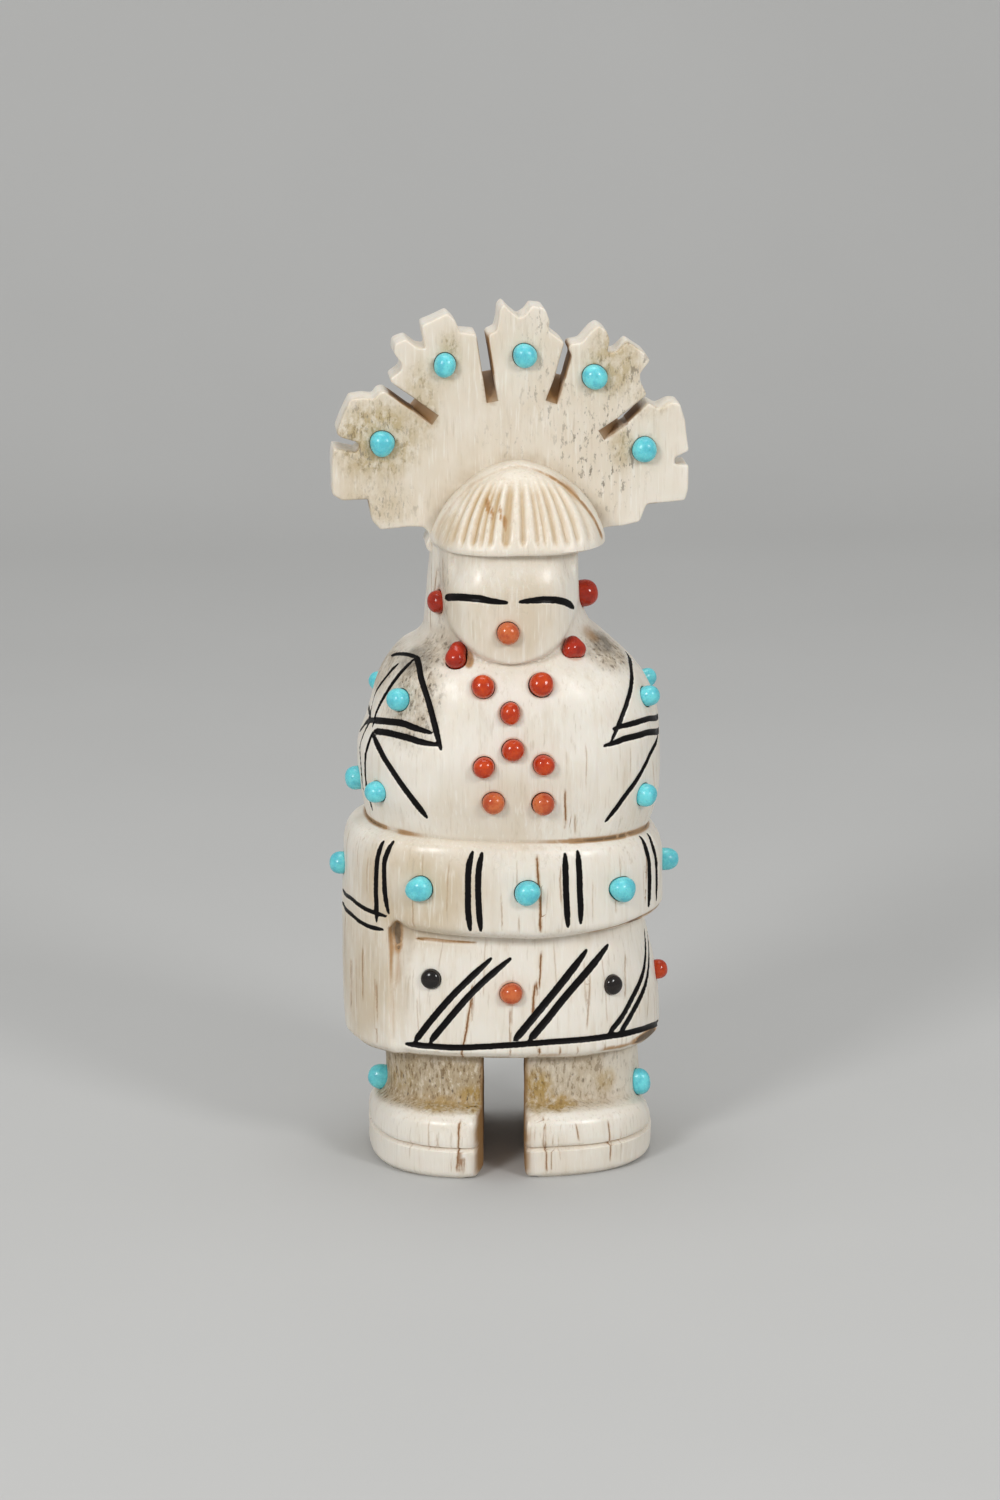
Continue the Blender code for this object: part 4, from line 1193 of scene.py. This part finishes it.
specks = spots(
    place,
    (
        ((9.5, PLATE_FRONT, 71.5), (6.0, 1.2, 8.5), 1.0),
        ((4.5, PLATE_FRONT, 77.5), (4, 1.2, 5), 0.6),
        ((0, PLATE_FRONT, 72.5), (4, 1.2, 3), 0.4),
        ((-12, PLATE_FRONT, 66.5), (5, 1.2, 3.5), 0.6),
        ((-13, PLATE_FRONT, 73.5), (5, 1.2, 5), 0.8),
        ((12, PLATE_FRONT, 79.5), (4, 1.2, 5), 0.8),
        ((3, PLATE_FRONT, 84), (2, 1.2, 3), 0.6),
        ((4, PLATE_BACK, 70), (10, 1.2, 12), 0.6),
    ),
)
# The legs under the hem turn darker brown: partly porous antler, partly painted shade of the hem.
on_leg = smooth_step((height - 6.3) / 0.7) * (height < 12.05)
legs = on_leg * (0.75 + 0.25 * smooth_step((1 - x) / 3) - 0.4 * smooth_step((x - 7.5) / 4))
ochre = spots(
    place,
    (
        ((-3.6, -9.8, 7.6), (3.0, 4, 1.7), 1.0),
        ((-7.5, -9.8, 7.1), (4.6, 4, 0.9), 0.85),
        ((-11.5, -6.5, 8.4), (2.5, 4, 1.8), 0.6),
        ((2.6, -9.8, 8.3), (2.2, 4, 2.8), 1.0),
        ((4.6, -10.2, 7.1), (3.0, 4, 0.9), 1.1),
        ((9.8, -8.8, 8.6), (1.6, 4, 1.8), 0.6),
        ((0, 8, 8), (16, 6, 1.6), 0.5),
    ),
)
ochre = ochre * (height < 12)

# %% Warm tone and brown stain, both partly painted shade
warm = spots(
    place,
    (
        ((0.3, -9.6, 56.4), (7.5, 4, 6.5), 0.62),
        ((-6.5, -8.0, 56.0), (3.0, 4, 6.0), 0.55),
        ((-9, -9, 29), (11, 7, 7.5), 0.85),
        ((-14, -5, 20), (5.5, 9, 11), 0.72),
        # The belly: partly a warmer tone, partly painted shade.
        ((-2, -12, 37.5), (10, 5, 6.0), 0.4),
        ((-13, PLATE_FRONT, 69), (6, 1.2, 6), 0.55),
        ((8, PLATE_FRONT, 68), (6, 1.2, 6), 0.35),
        ((0, 8, 30), (16, 8, 30), 0.35),
        ((1.3, -8, 66.5), (11, 9, 7.5), 0.3),
        ((-5.5, -5.5, 64.5), (3.2, 4, 2.6), 0.7),
        ((0.5, PLATE_FRONT, 74), (22, 1.2, 18), 0.4),
    ),
)
# Dark grey on the shoulders beside the neck: partly stain, partly painted shadow of the head and neck.
soot = spots(
    place,
    (
        ((-9.3, -5.5, 51.8), (3.0, 3.5, 2.2), 0.85),
        ((-7.4, -6.5, 50.3), (1.5, 2, 2.4), 0.5),
        ((9.9, -4.2, 52.9), (2.4, 3, 1.7), 0.9),
        ((-5.9, -7.2, 53.6), (1.4, 2, 1.6), 0.5),
    ),
)
# A thin brown line in the groove above the sole: partly stain, partly painted shade in the groove.
sole_line = 0.3 * bell(height, 3.1, 0.14) * (height < 12)
brown = spots(
    place,
    (
        ((-2.15, -7.6, 67.6), (0.32, 2, 1.3), 0.75),
        ((-1.75, -8.2, 66.8), (0.22, 2, 1.0), 0.6),
        ((-0.95, -8.3, 66.8), (0.22, 2, 1.2), 0.65),
        ((-0.55, -9.0, 65.9), (0.28, 2, 1.1), 0.7),
        ((9.3, -5.0, 54.2), (2.6, 3.5, 1.8), 0.5),
        ((14.2, -6.0, 12.5), (3.4, 4.0, 0.75), 1.2),
        ((10.8, -9.0, 12.35), (3.2, 2.5, 0.35), 0.55),
        ((12.6, -8.6, 25.25), (1.7, 2, 0.3), 1.0),
        ((9.4, -10.0, 24.7), (2.6, 2, 0.25), 0.6),
        ((3.5, -12.0, 12.2), (4.0, 3, 0.45), 0.4),
        # Beside the first neck bead: painted shadow of the bead, with some brown glue stain.
        ((-4.1, -8.2, 52.25), (0.7, 2, 1.15), 0.75),
        # The notch where flap, belt and skirt meet, and the streak below it: partly dark brown stain, partly
        # painted shade in the hollow.
        ((-11.2, -8.8, 24.6), (0.5, 1.6, 2.4), 1.5),
        ((-11.4, -8.8, 24.4), (1.1, 1.6, 2.6), 0.4),
        ((-11.15, -8.8, 21.5), (0.5, 1.6, 3.4), 0.35),
        ((9.4, -2.6, 65.4), (0.35, 1.8, 0.7), 1.0),
    ),
)
rim_brown = rim_line(place) * (0.25 + 0.6 * smooth_step((x - 2) / 3))
smear = 0.55 * bell(rim_share(place), 0.9, 0.07) * bell(x, 6.3, 1.1) * on_hair(place)
rim_brown = np.maximum(rim_brown, smear)
brown = np.max([brown, score_brown, sole_line, rim_brown], axis=0)
flute_tan = np.clip(flutes / 0.26, 0, 1) ** 1.3 * (0.6 + 0.4 * smooth_step((2.5 - x) / 4))
inner_wall = (np.abs(x - 0.3) < 5) * (height < 12.1) * (np.abs(out[:, 0]) > 0.8)
slot_wall = (z > 66) * (np.hypot(x - HUB_X, z - HUB_Z) < 14.9)
slot_wall = slot_wall * (np.abs(out[:, 1]) < 0.72) * (np.abs(y - 0.9) < 2.2)
sawn = spread(np.maximum(slot_wall, inner_wall).astype(float), edges, 1)

# %% Halo of glue round the coral
glue = np.full(len(place), 2.0)
for name, (seat, radius) in seats.items():
    if name.startswith("coral"):
        glue = np.minimum(glue, np.linalg.norm(place - seat[0], axis=1) - radius)
print("points in a halo:", int((np.abs(glue) < 0.3).sum()))

# %% Attributes
polish = spots(
    place,
    (
        ((0.3, -9, 60), (7.5, 5, 5), 1.0),
        ((0, -12, 33), (15, 8, 2.2), 0.8),
        ((0, -12, 5.2), (15, 8, 2.2), 0.8),
    ),
)
crack_offset, crack_strength = crack_marks(place, out)
crack_strength = crack_strength * (distance > half_width)
masks = {
    "cut": np.clip(distance - half_width, -0.5, 1.5),
    "crack_offset": crack_offset,
    "crack_strength": crack_strength,
    "crevice": crevice,
    "porous": porous,
    "olive": olive,
    "legs": legs,
    "ochre": ochre,
    "warm": warm,
    "specks": specks,
    "brown": brown,
    "soot": soot,
    "flute_tan": flute_tan,
    "polish": polish,
    "sawn": sawn,
    "glue": glue,
}
for name, values in masks.items():
    layer = carving.data.attributes.new(name, "FLOAT", "POINT")
    layer.data.foreach_set("value", values.astype(np.float32))
    print(f"{name}: up to {values.max():.2f}, {np.mean(values > 0.3):.0%} of the points over 0.3")

# %% Smooth shading with crisp edges
carving.data.shade_smooth()
carving.data.set_sharp_from_angle(angle=np.radians(48))
for stone in stones.values():
    stone.data.shade_smooth()
triangles = sum(len(face.vertices) - 2 for face in carving.data.polygons)
print("carving:", triangles, "triangles")

# %% [markdown]
# ## Materials from nodes
#
# A small helper keeps the node code short: it adds a node, sets its values and links its inputs, and
# gives back the output that the next node needs.


# %% Node helper
class Nodes:
    def __init__(self, name):
        self.material = bpy.data.materials.new(name)
        self.material.use_nodes = True
        self.tree = self.material.node_tree
        self.shader = self.tree.nodes["Principled BSDF"]

    def add(self, kind, inputs=(), output=0, **settings):
        node = self.tree.nodes.new(kind)
        for key, value in settings.items():
            setattr(node, key, value)
        for key, value in dict(inputs).items():
            self.put(node.inputs[key], value)
        return node.outputs[output]

    def put(self, socket, value):
        if isinstance(value, bpy.types.NodeSocket):
            self.tree.links.new(value, socket)
        else:
            socket.default_value = value

    def place(self, stretch=(1, 1, 1)):
        """Object coordinates in millimetres, squeezed along each axis."""
        where = self.add("ShaderNodeTexCoord", output="Object")
        return self.add("ShaderNodeMapping", {"Vector": where, "Scale": [1000 * s for s in stretch]})

    def noise(self, scale, detail=3, roughness=0.55, stretch=(1, 1, 1), shift=0.0):
        where = self.place(stretch)
        where = self.add("ShaderNodeVectorMath", {0: where, 1: (shift, shift, shift)}, operation="ADD")
        inputs = {"Vector": where, "Scale": scale, "Detail": detail, "Roughness": roughness}
        return self.add("ShaderNodeTexNoise", inputs)

    def cells(self, scale, stretch=(1, 1, 1)):
        inputs = {"Vector": self.place(stretch), "Scale": scale}
        return self.add("ShaderNodeTexVoronoi", inputs, output="Distance")

    def attribute(self, name):
        return self.add("ShaderNodeAttribute", output="Fac", attribute_name=name)

    def math(self, operation, first, second=0.0, clamp=False):
        return self.add("ShaderNodeMath", {0: first, 1: second}, operation=operation, use_clamp=clamp)

    def times(self, first, *others, clamp=False):
        for other in others:
            first = self.math("MULTIPLY", first, other, clamp)
        return first

    def between(self, value, low, high, start=0.0, end=1.0):
        """Maps low..high to start..end with a smooth step, held outside."""
        inputs = {"Value": value, "From Min": low, "From Max": high, "To Min": start, "To Max": end}
        return self.add("ShaderNodeMapRange", inputs, interpolation_type="SMOOTHSTEP")

    def mix(self, amount, first, second):
        """Colour from first to second."""
        made = self.tree.nodes.new("ShaderNodeMix")
        made.data_type = "RGBA"
        colour = [socket for socket in made.inputs if socket.type == "RGBA"]
        self.put(made.inputs[0], amount)
        for socket, value in zip(colour, (first, second)):
            self.put(socket, (*value, 1) if isinstance(value, tuple) else value)
        return next(socket for socket in made.outputs if socket.type == "RGBA")

    def bump(self, height, distance, strength=1.0, under=None):
        inputs = {"Height": height, "Distance": distance * MM, "Strength": strength}
        if under is not None:
            inputs["Normal"] = under
        return self.add("ShaderNodeBump", inputs)


# %% [markdown]
# ## Antler
#
# Polished antler is creamy and a little translucent, so some light goes under the surface. It grows
# along its length, and everything in it runs that way: pale streaks, hairline cracks that went
# sienna brown, and pores drawn out into dashes. Where the carver reached the core it is greyish and
# full of holes. The black in the cuts is matt, and its edge is ragged by a few hundredths of a
# millimetre.

# %% Cream and grain
antler = Nodes("polished_antler")
streak = antler.noise(1.0, 4, 0.6, (0.9, 0.9, 0.09))
cloud = antler.noise(0.22, 3, 0.5)
colour = antler.mix(antler.between(cloud, 0.35, 0.7, 0, 0.5), (0.84, 0.79, 0.70), (0.76, 0.68, 0.56))
clouds = antler.between(antler.noise(0.35, 4, 0.6, (1, 1, 0.4), 12.0), 0.25, 0.6, 0.45, 1)
# Warm tone; on the belly it is partly painted shade.
warmth = antler.times(antler.attribute("warm"), clouds)
colour = antler.mix(warmth, colour, (0.585, 0.465, 0.305))
colour = antler.mix(antler.between(streak, 0.5, 0.8, 0, 0.4), colour, (0.60, 0.49, 0.35))
grain = antler.noise(3.4, 3, 0.6, (1, 1, 0.07), 2.0)
patchy = antler.between(antler.noise(0.3, 2, 0.5, (1, 1, 0.6), 8.0), 0.35, 0.65, 0.25, 1)
dashes = antler.times(antler.between(grain, 0.56, 0.68), patchy, 0.32)
colour = antler.mix(dashes, colour, (0.42, 0.33, 0.22))
pale = antler.times(antler.between(grain, 0.44, 0.34), 0.35)
colour = antler.mix(pale, colour, (0.90, 0.87, 0.80))
colour = antler.mix(antler.times(antler.attribute("flute_tan"), 0.9), colour, (0.50, 0.335, 0.15))

# %% Porous core, legs and headdress
rough_core = antler.noise(0.9, 5, 0.7, (1, 1, 0.6), 3.0)
fleck = antler.noise(2.6, 3, 0.65, (1, 1, 0.42), 91.0)
dark_fleck, light_fleck = antler.between(fleck, 0.53, 0.63), antler.between(fleck, 0.45, 0.36)
rough_leg = antler.between(antler.noise(0.7, 4, 0.6, (1, 1, 0.3), 51.0), 0.25, 0.6, 0.55, 1)
rough_ochre = antler.between(antler.noise(1.3, 4, 0.7, (1, 1, 0.6), 57.0), 0.38, 0.55, 0.1, 1)
spongy = antler.between(antler.noise(1.1, 5, 0.7, (1, 1, 0.8), 61.0), 0.36, 0.58, 0.3, 1)
core = antler.times(antler.attribute("porous"), antler.between(rough_core, 0.3, 0.6, 0.25, 1), clamp=True)
leg = antler.times(antler.attribute("legs"), rough_leg, clamp=True)
ochre_amount = antler.times(antler.attribute("ochre"), rough_ochre, clamp=True)
olive_amount = antler.times(antler.attribute("olive"), spongy, clamp=True)
layers = (
    # amount, its colour, how dark its flecks are, their colour, how pale the others are
    (core, (0.42, 0.34, 0.24), 0.9, (0.11, 0.08, 0.05), 0.5),
    # legs: partly painted shade of the hem
    (leg, (0.37, 0.27, 0.14), 0.8, (0.15, 0.085, 0.022), 0.6),
    (ochre_amount, (0.38, 0.235, 0.045), 0.5, (0.15, 0.08, 0.015), 0.25),
    (olive_amount, (0.46, 0.35, 0.17), 0.7, (0.20, 0.14, 0.05), 0.2),
)
for amount, tone, deep_share, deep_tone, pale_share in layers:
    colour = antler.mix(antler.times(amount, 0.88), colour, tone)
    colour = antler.mix(antler.times(dark_fleck, amount, deep_share), colour, deep_tone)
    colour = antler.mix(antler.times(light_fleck, amount, pale_share), colour, (0.78, 0.71, 0.58))

# Dark grey beside the neck: partly stain, partly painted shadow.
rough_grey = antler.between(antler.noise(1.0, 4, 0.65, (1, 1, 0.5), 14.0), 0.3, 0.6, 0.35, 1)
grey_amount = antler.times(antler.attribute("soot"), rough_grey, 0.8)
colour = antler.mix(grey_amount, colour, (0.14, 0.12, 0.095))

# %% Pores and specks
pore = antler.cells(1.9, (1, 1, 0.45))
chosen = antler.between(antler.noise(1.3, 2, 0.5, (1, 1, 0.6), 23.0), 0.5, 0.58)
open_core = antler.math("MAXIMUM", core, antler.math("MAXIMUM", leg, antler.times(olive_amount, 0.6)))
pores = antler.times(antler.between(pore, 0.1, 0.26, 1, 0), chosen, open_core)
colour = antler.mix(antler.times(pores, 0.9), colour, (0.07, 0.045, 0.02))
dots = antler.between(antler.noise(2.2, 4, 0.7, (1, 1, 0.4), 43.0), 0.54, 0.61)
dots = antler.times(dots, antler.attribute("specks"), antler.between(rough_core, 0.4, 0.55), 0.8)
colour = antler.mix(dots, colour, (0.17, 0.14, 0.10))

# %% Cracks, stain and painted shade
wiggle = antler.math("SUBTRACT", antler.noise(0.9, 4, 0.7, (1, 1, 0.6), 71.0), 0.5)
off = antler.math("ABSOLUTE", antler.math("ADD", antler.attribute("crack_offset"), antler.times(wiggle, 4.0)))
broken = antler.between(antler.noise(1.0, 3, 0.6, (1, 1, 0.4), 77.0), 0.3, 0.48, 0.35, 1)
near_crack = antler.times(antler.attribute("crack_strength"), broken)
crack = antler.times(antler.between(off, 0.3, 1.1, 1, 0), near_crack)
beside_crack = antler.times(antler.between(off, 0.6, 2.6, 1, 0), near_crack, 0.4)
colour = antler.mix(beside_crack, colour, (0.55, 0.34, 0.15))
colour = antler.mix(antler.times(crack, 0.85), colour, (0.26, 0.115, 0.035))

# Brown stain, nearly black where it is strongest. Beside the first neck bead, in the notch and along the
# flap's edge it is partly painted shade.
rough_brown = antler.between(antler.noise(1.2, 4, 0.7, (1, 1, 0.6), 31.0), 0.25, 0.5, 0.45, 1)
brown_amount = antler.times(antler.attribute("brown"), rough_brown, clamp=True)
colour = antler.mix(antler.between(brown_amount, 0.05, 0.6, 0, 0.88), colour, (0.40, 0.195, 0.05))
colour = antler.mix(antler.between(brown_amount, 0.6, 0.95, 0, 0.85), colour, (0.055, 0.03, 0.008))
# Crevices turn darker brown: partly old stain, partly painted shade in creases and hollows.
rough_crevice = antler.between(antler.noise(0.6, 3, 0.6, shift=41.0), 0.25, 0.6, 0.25, 1)
colour = antler.mix(antler.times(antler.attribute("crevice"), rough_crevice, 0.4), colour, (0.40, 0.29, 0.17))
colour = antler.mix(antler.times(antler.attribute("sawn"), 0.95), colour, (0.31, 0.155, 0.04))
halo = antler.between(antler.attribute("glue"), 0.05, 0.34, 0.5, 0)
colour = antler.mix(halo, colour, (0.60, 0.30, 0.16))

# %% Black in the cuts, gloss and grain
ragged = antler.times(antler.math("SUBTRACT", antler.noise(3.2, 2, 0.5), 0.5), 0.09)
edge = antler.math("ADD", antler.attribute("cut"), ragged)
black = antler.between(edge, -0.035, 0.03, 1, 0)
colour = antler.mix(black, colour, (0.006, 0.005, 0.005))
antler.put(antler.shader.inputs["Base Color"], colour)

dull = antler.between(antler.noise(1.2, 3, 0.6), 0.3, 0.7, 0.36, 0.46)
dull = antler.math("SUBTRACT", dull, antler.times(antler.attribute("polish"), 0.14))
dull = antler.math("ADD", dull, antler.times(open_core, 0.2))
dull = antler.math("ADD", dull, antler.times(antler.attribute("sawn"), 0.25))
shine = antler.math("SUBTRACT", 0.5, antler.times(black, 0.42))
antler.put(antler.shader.inputs["Specular IOR Level"], shine)
antler.put(antler.shader.inputs["Roughness"], dull)

fine = antler.bump(antler.noise(1.4, 4, 0.55, (1, 1, 0.3)), 0.045, 0.5)
holes_down = antler.math("ADD", pores, antler.times(crack, 0.5))
relief = antler.bump(antler.math("SUBTRACT", 1.0, holes_down), 0.12, 0.8, fine)
antler.put(antler.shader.inputs["Normal"], relief)
antler.shader.inputs["Subsurface Weight"].default_value = 0.12
antler.shader.inputs["Subsurface Radius"].default_value = (1.0, 0.6, 0.35)
antler.shader.inputs["Subsurface Scale"].default_value = 0.0006
antler.shader.inputs["IOR"].default_value = 1.54
carving.data.materials.clear()
carving.data.materials.append(antler.material)
print("antler nodes:", len(antler.tree.nodes))

# %% [markdown]
# ## Stones
#
# The turquoise is sky blue with paler clouds, the coral runs from orange to deep red with faint
# growth lines, and the jet is nearly black. All are polished, so they show the two lamps as sharp
# points. The coral beads come in three shades.


# %% Stone materials
def stone_material(name, light, dark, scale, roughness):
    """Two colours mixed by soft noise, with darker veins in finer noise. Gloss and bump are uneven too."""
    made = Nodes(name)
    cloud = made.between(made.noise(scale, 3, 0.6, shift=len(name) * 3.1), 0.36, 0.66)
    colour = made.mix(cloud, light, dark)
    veins = made.between(made.noise(scale * 3.5, 4, 0.7, shift=7.0), 0.56, 0.7, 0, 0.35)
    colour = made.mix(veins, colour, tuple(0.55 * c for c in dark))
    made.put(made.shader.inputs["Base Color"], colour)
    gloss = made.between(made.noise(2.5, 2, 0.5), 0.3, 0.7, roughness, roughness + 0.1)
    made.put(made.shader.inputs["Roughness"], gloss)
    made.put(made.shader.inputs["Normal"], made.bump(made.noise(1.8, 3, 0.5), 0.03, 0.35))
    made.shader.inputs["Subsurface Weight"].default_value = 0.08
    made.shader.inputs["Subsurface Scale"].default_value = 0.0004
    return made.material


FINISHES = {
    "turquoise": stone_material("turquoise_sky", (0.17, 0.70, 0.75), (0.105, 0.53, 0.62), 0.9, 0.2),
    "coral": stone_material("coral_red", (0.60, 0.060, 0.004), (0.44, 0.028, 0.002), 0.8, 0.10),
    "coral_orange": stone_material("coral_orange", (0.63, 0.15, 0.042), (0.48, 0.070, 0.018), 0.8, 0.12),
    "coral_deep": stone_material("coral_deep", (0.46, 0.026, 0.004), (0.31, 0.014, 0.002), 0.8, 0.09),
    "jet": stone_material("jet_black", (0.012, 0.007, 0.005), (0.006, 0.004, 0.003), 1.2, 0.10),
}
SHADES = {
    "coral_orange": ("coral_face", "coral_chest_7", "coral_chest_8", "coral_skirt_1"),
    "coral_deep": ("coral_left_ear", "coral_right_ear", "coral_neck_1", "coral_neck_2"),
}
for name, stone in stones.items():
    shade = next((key for key, names in SHADES.items() if name in names), name.split("_")[0])
    stone.data.materials.append(FINISHES[shade])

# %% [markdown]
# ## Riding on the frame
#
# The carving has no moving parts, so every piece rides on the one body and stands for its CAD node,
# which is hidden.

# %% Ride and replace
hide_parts("antler_carving")
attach(carving, "root")
for name, stone in stones.items():
    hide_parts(name)
    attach(stone, "root")
print("pieces:", 1 + len(stones))

# %% [markdown]
# ## Floor, light and camera
#
# The figure stands on a plain pale floor that curves up behind it. Two large soft lamps stand in
# front, one to each side, and show as two points in every bead. A third, wider and weaker, hangs
# above. The camera is a little above the figure and a few degrees to its left, as in the photograph,
# with a long lens.


# %% Floor
BEND, BEND_START, FLOOR_HALF, FLOOR_POINTS = 160, 300, 900, 5


def sweep_floor():
    """A strip along a path: level, a quarter round, then upright. The radius of the round is 160 mm."""
    turn = np.linspace(0, np.pi / 2, 24)
    y = np.concatenate([[-700, -350, 0, 200], BEND_START + BEND * np.sin(turn), [BEND_START + BEND] * 2])
    z = np.concatenate([[0, 0, 0, 0], BEND - BEND * np.cos(turn), [500, 900]])
    x = np.linspace(-FLOOR_HALF, FLOOR_HALF, FLOOR_POINTS)
    grid = np.stack(np.broadcast_arrays(x[None, :], y[:, None], z[:, None]), axis=-1)
    index = np.arange(len(y) * FLOOR_POINTS).reshape(len(y), FLOOR_POINTS)
    faces = np.stack([index[:-1, :-1], index[:-1, 1:], index[1:, 1:], index[1:, :-1]], axis=-1)
    return mesh_object("floor", grid.reshape(-1, 3) + MIDDLE, faces.reshape(-1, 4).tolist())


floor = sweep_floor()
floor.data.shade_smooth()
paper = Nodes("pale_paper")
paper.shader.inputs["Roughness"].default_value = 0.9
tone = paper.mix(paper.noise(0.02, 2, 0.5), (0.50, 0.50, 0.49), (0.53, 0.53, 0.52))
paper.put(paper.shader.inputs["Base Color"], tone)
floor.data.materials.append(paper.material)


# %% Lamps
def lamp(name, place, aim, width, power, colour=(1, 1, 1)):
    light = bpy.data.lights.new(name, "AREA")
    light.shape, light.size, light.energy, light.color = "DISK", width * MM, power, colour
    made = bpy.data.objects.new(name, light)
    made.location = Vector(place) * MM
    made.rotation_euler = (Vector(aim) * MM - made.location).to_track_quat("-Z", "Y").to_euler()
    bpy.context.scene.collection.objects.link(made)


lamp("front_left", (-330, -420, 330), (0, 0, 45), 160, 1.4)
lamp("front_right", (330, -420, 330), (0, 0, 45), 160, 1.05)
lamp("above", (0, 60, 520), (0, 0, 40), 300, 0.75)
world = bpy.data.worlds.new("studio")
world.use_nodes = True
world.node_tree.nodes["Background"].inputs["Color"].default_value = (1, 1, 1, 1)
world.node_tree.nodes["Background"].inputs["Strength"].default_value = 0.45
bpy.context.scene.world = world
bpy.context.scene.view_settings.view_transform = "Standard"

# %% Camera
AZIMUTH, ELEVATION, AWAY = np.radians(-5.0), np.radians(14.0), 520
TARGET = np.array([-0.3, 0.0, 41.0]) - MIDDLE
sideways = np.cos(ELEVATION)
back = np.array([np.sin(AZIMUTH) * sideways, -np.cos(AZIMUTH) * sideways, np.sin(ELEVATION)])
camera = bpy.data.cameras.new("camera")
camera.sensor_fit, camera.sensor_height, camera.lens = "VERTICAL", 24, 83.2
camera.clip_start = 0.01
viewer = bpy.data.objects.new("camera", camera)
viewer.location = Vector(TARGET + AWAY * back) * MM
viewer.rotation_mode = "QUATERNION"
viewer.rotation_quaternion = Vector(-back).to_track_quat("-Z", "Y")
bpy.context.scene.collection.objects.link(viewer)
bpy.context.scene.camera = viewer
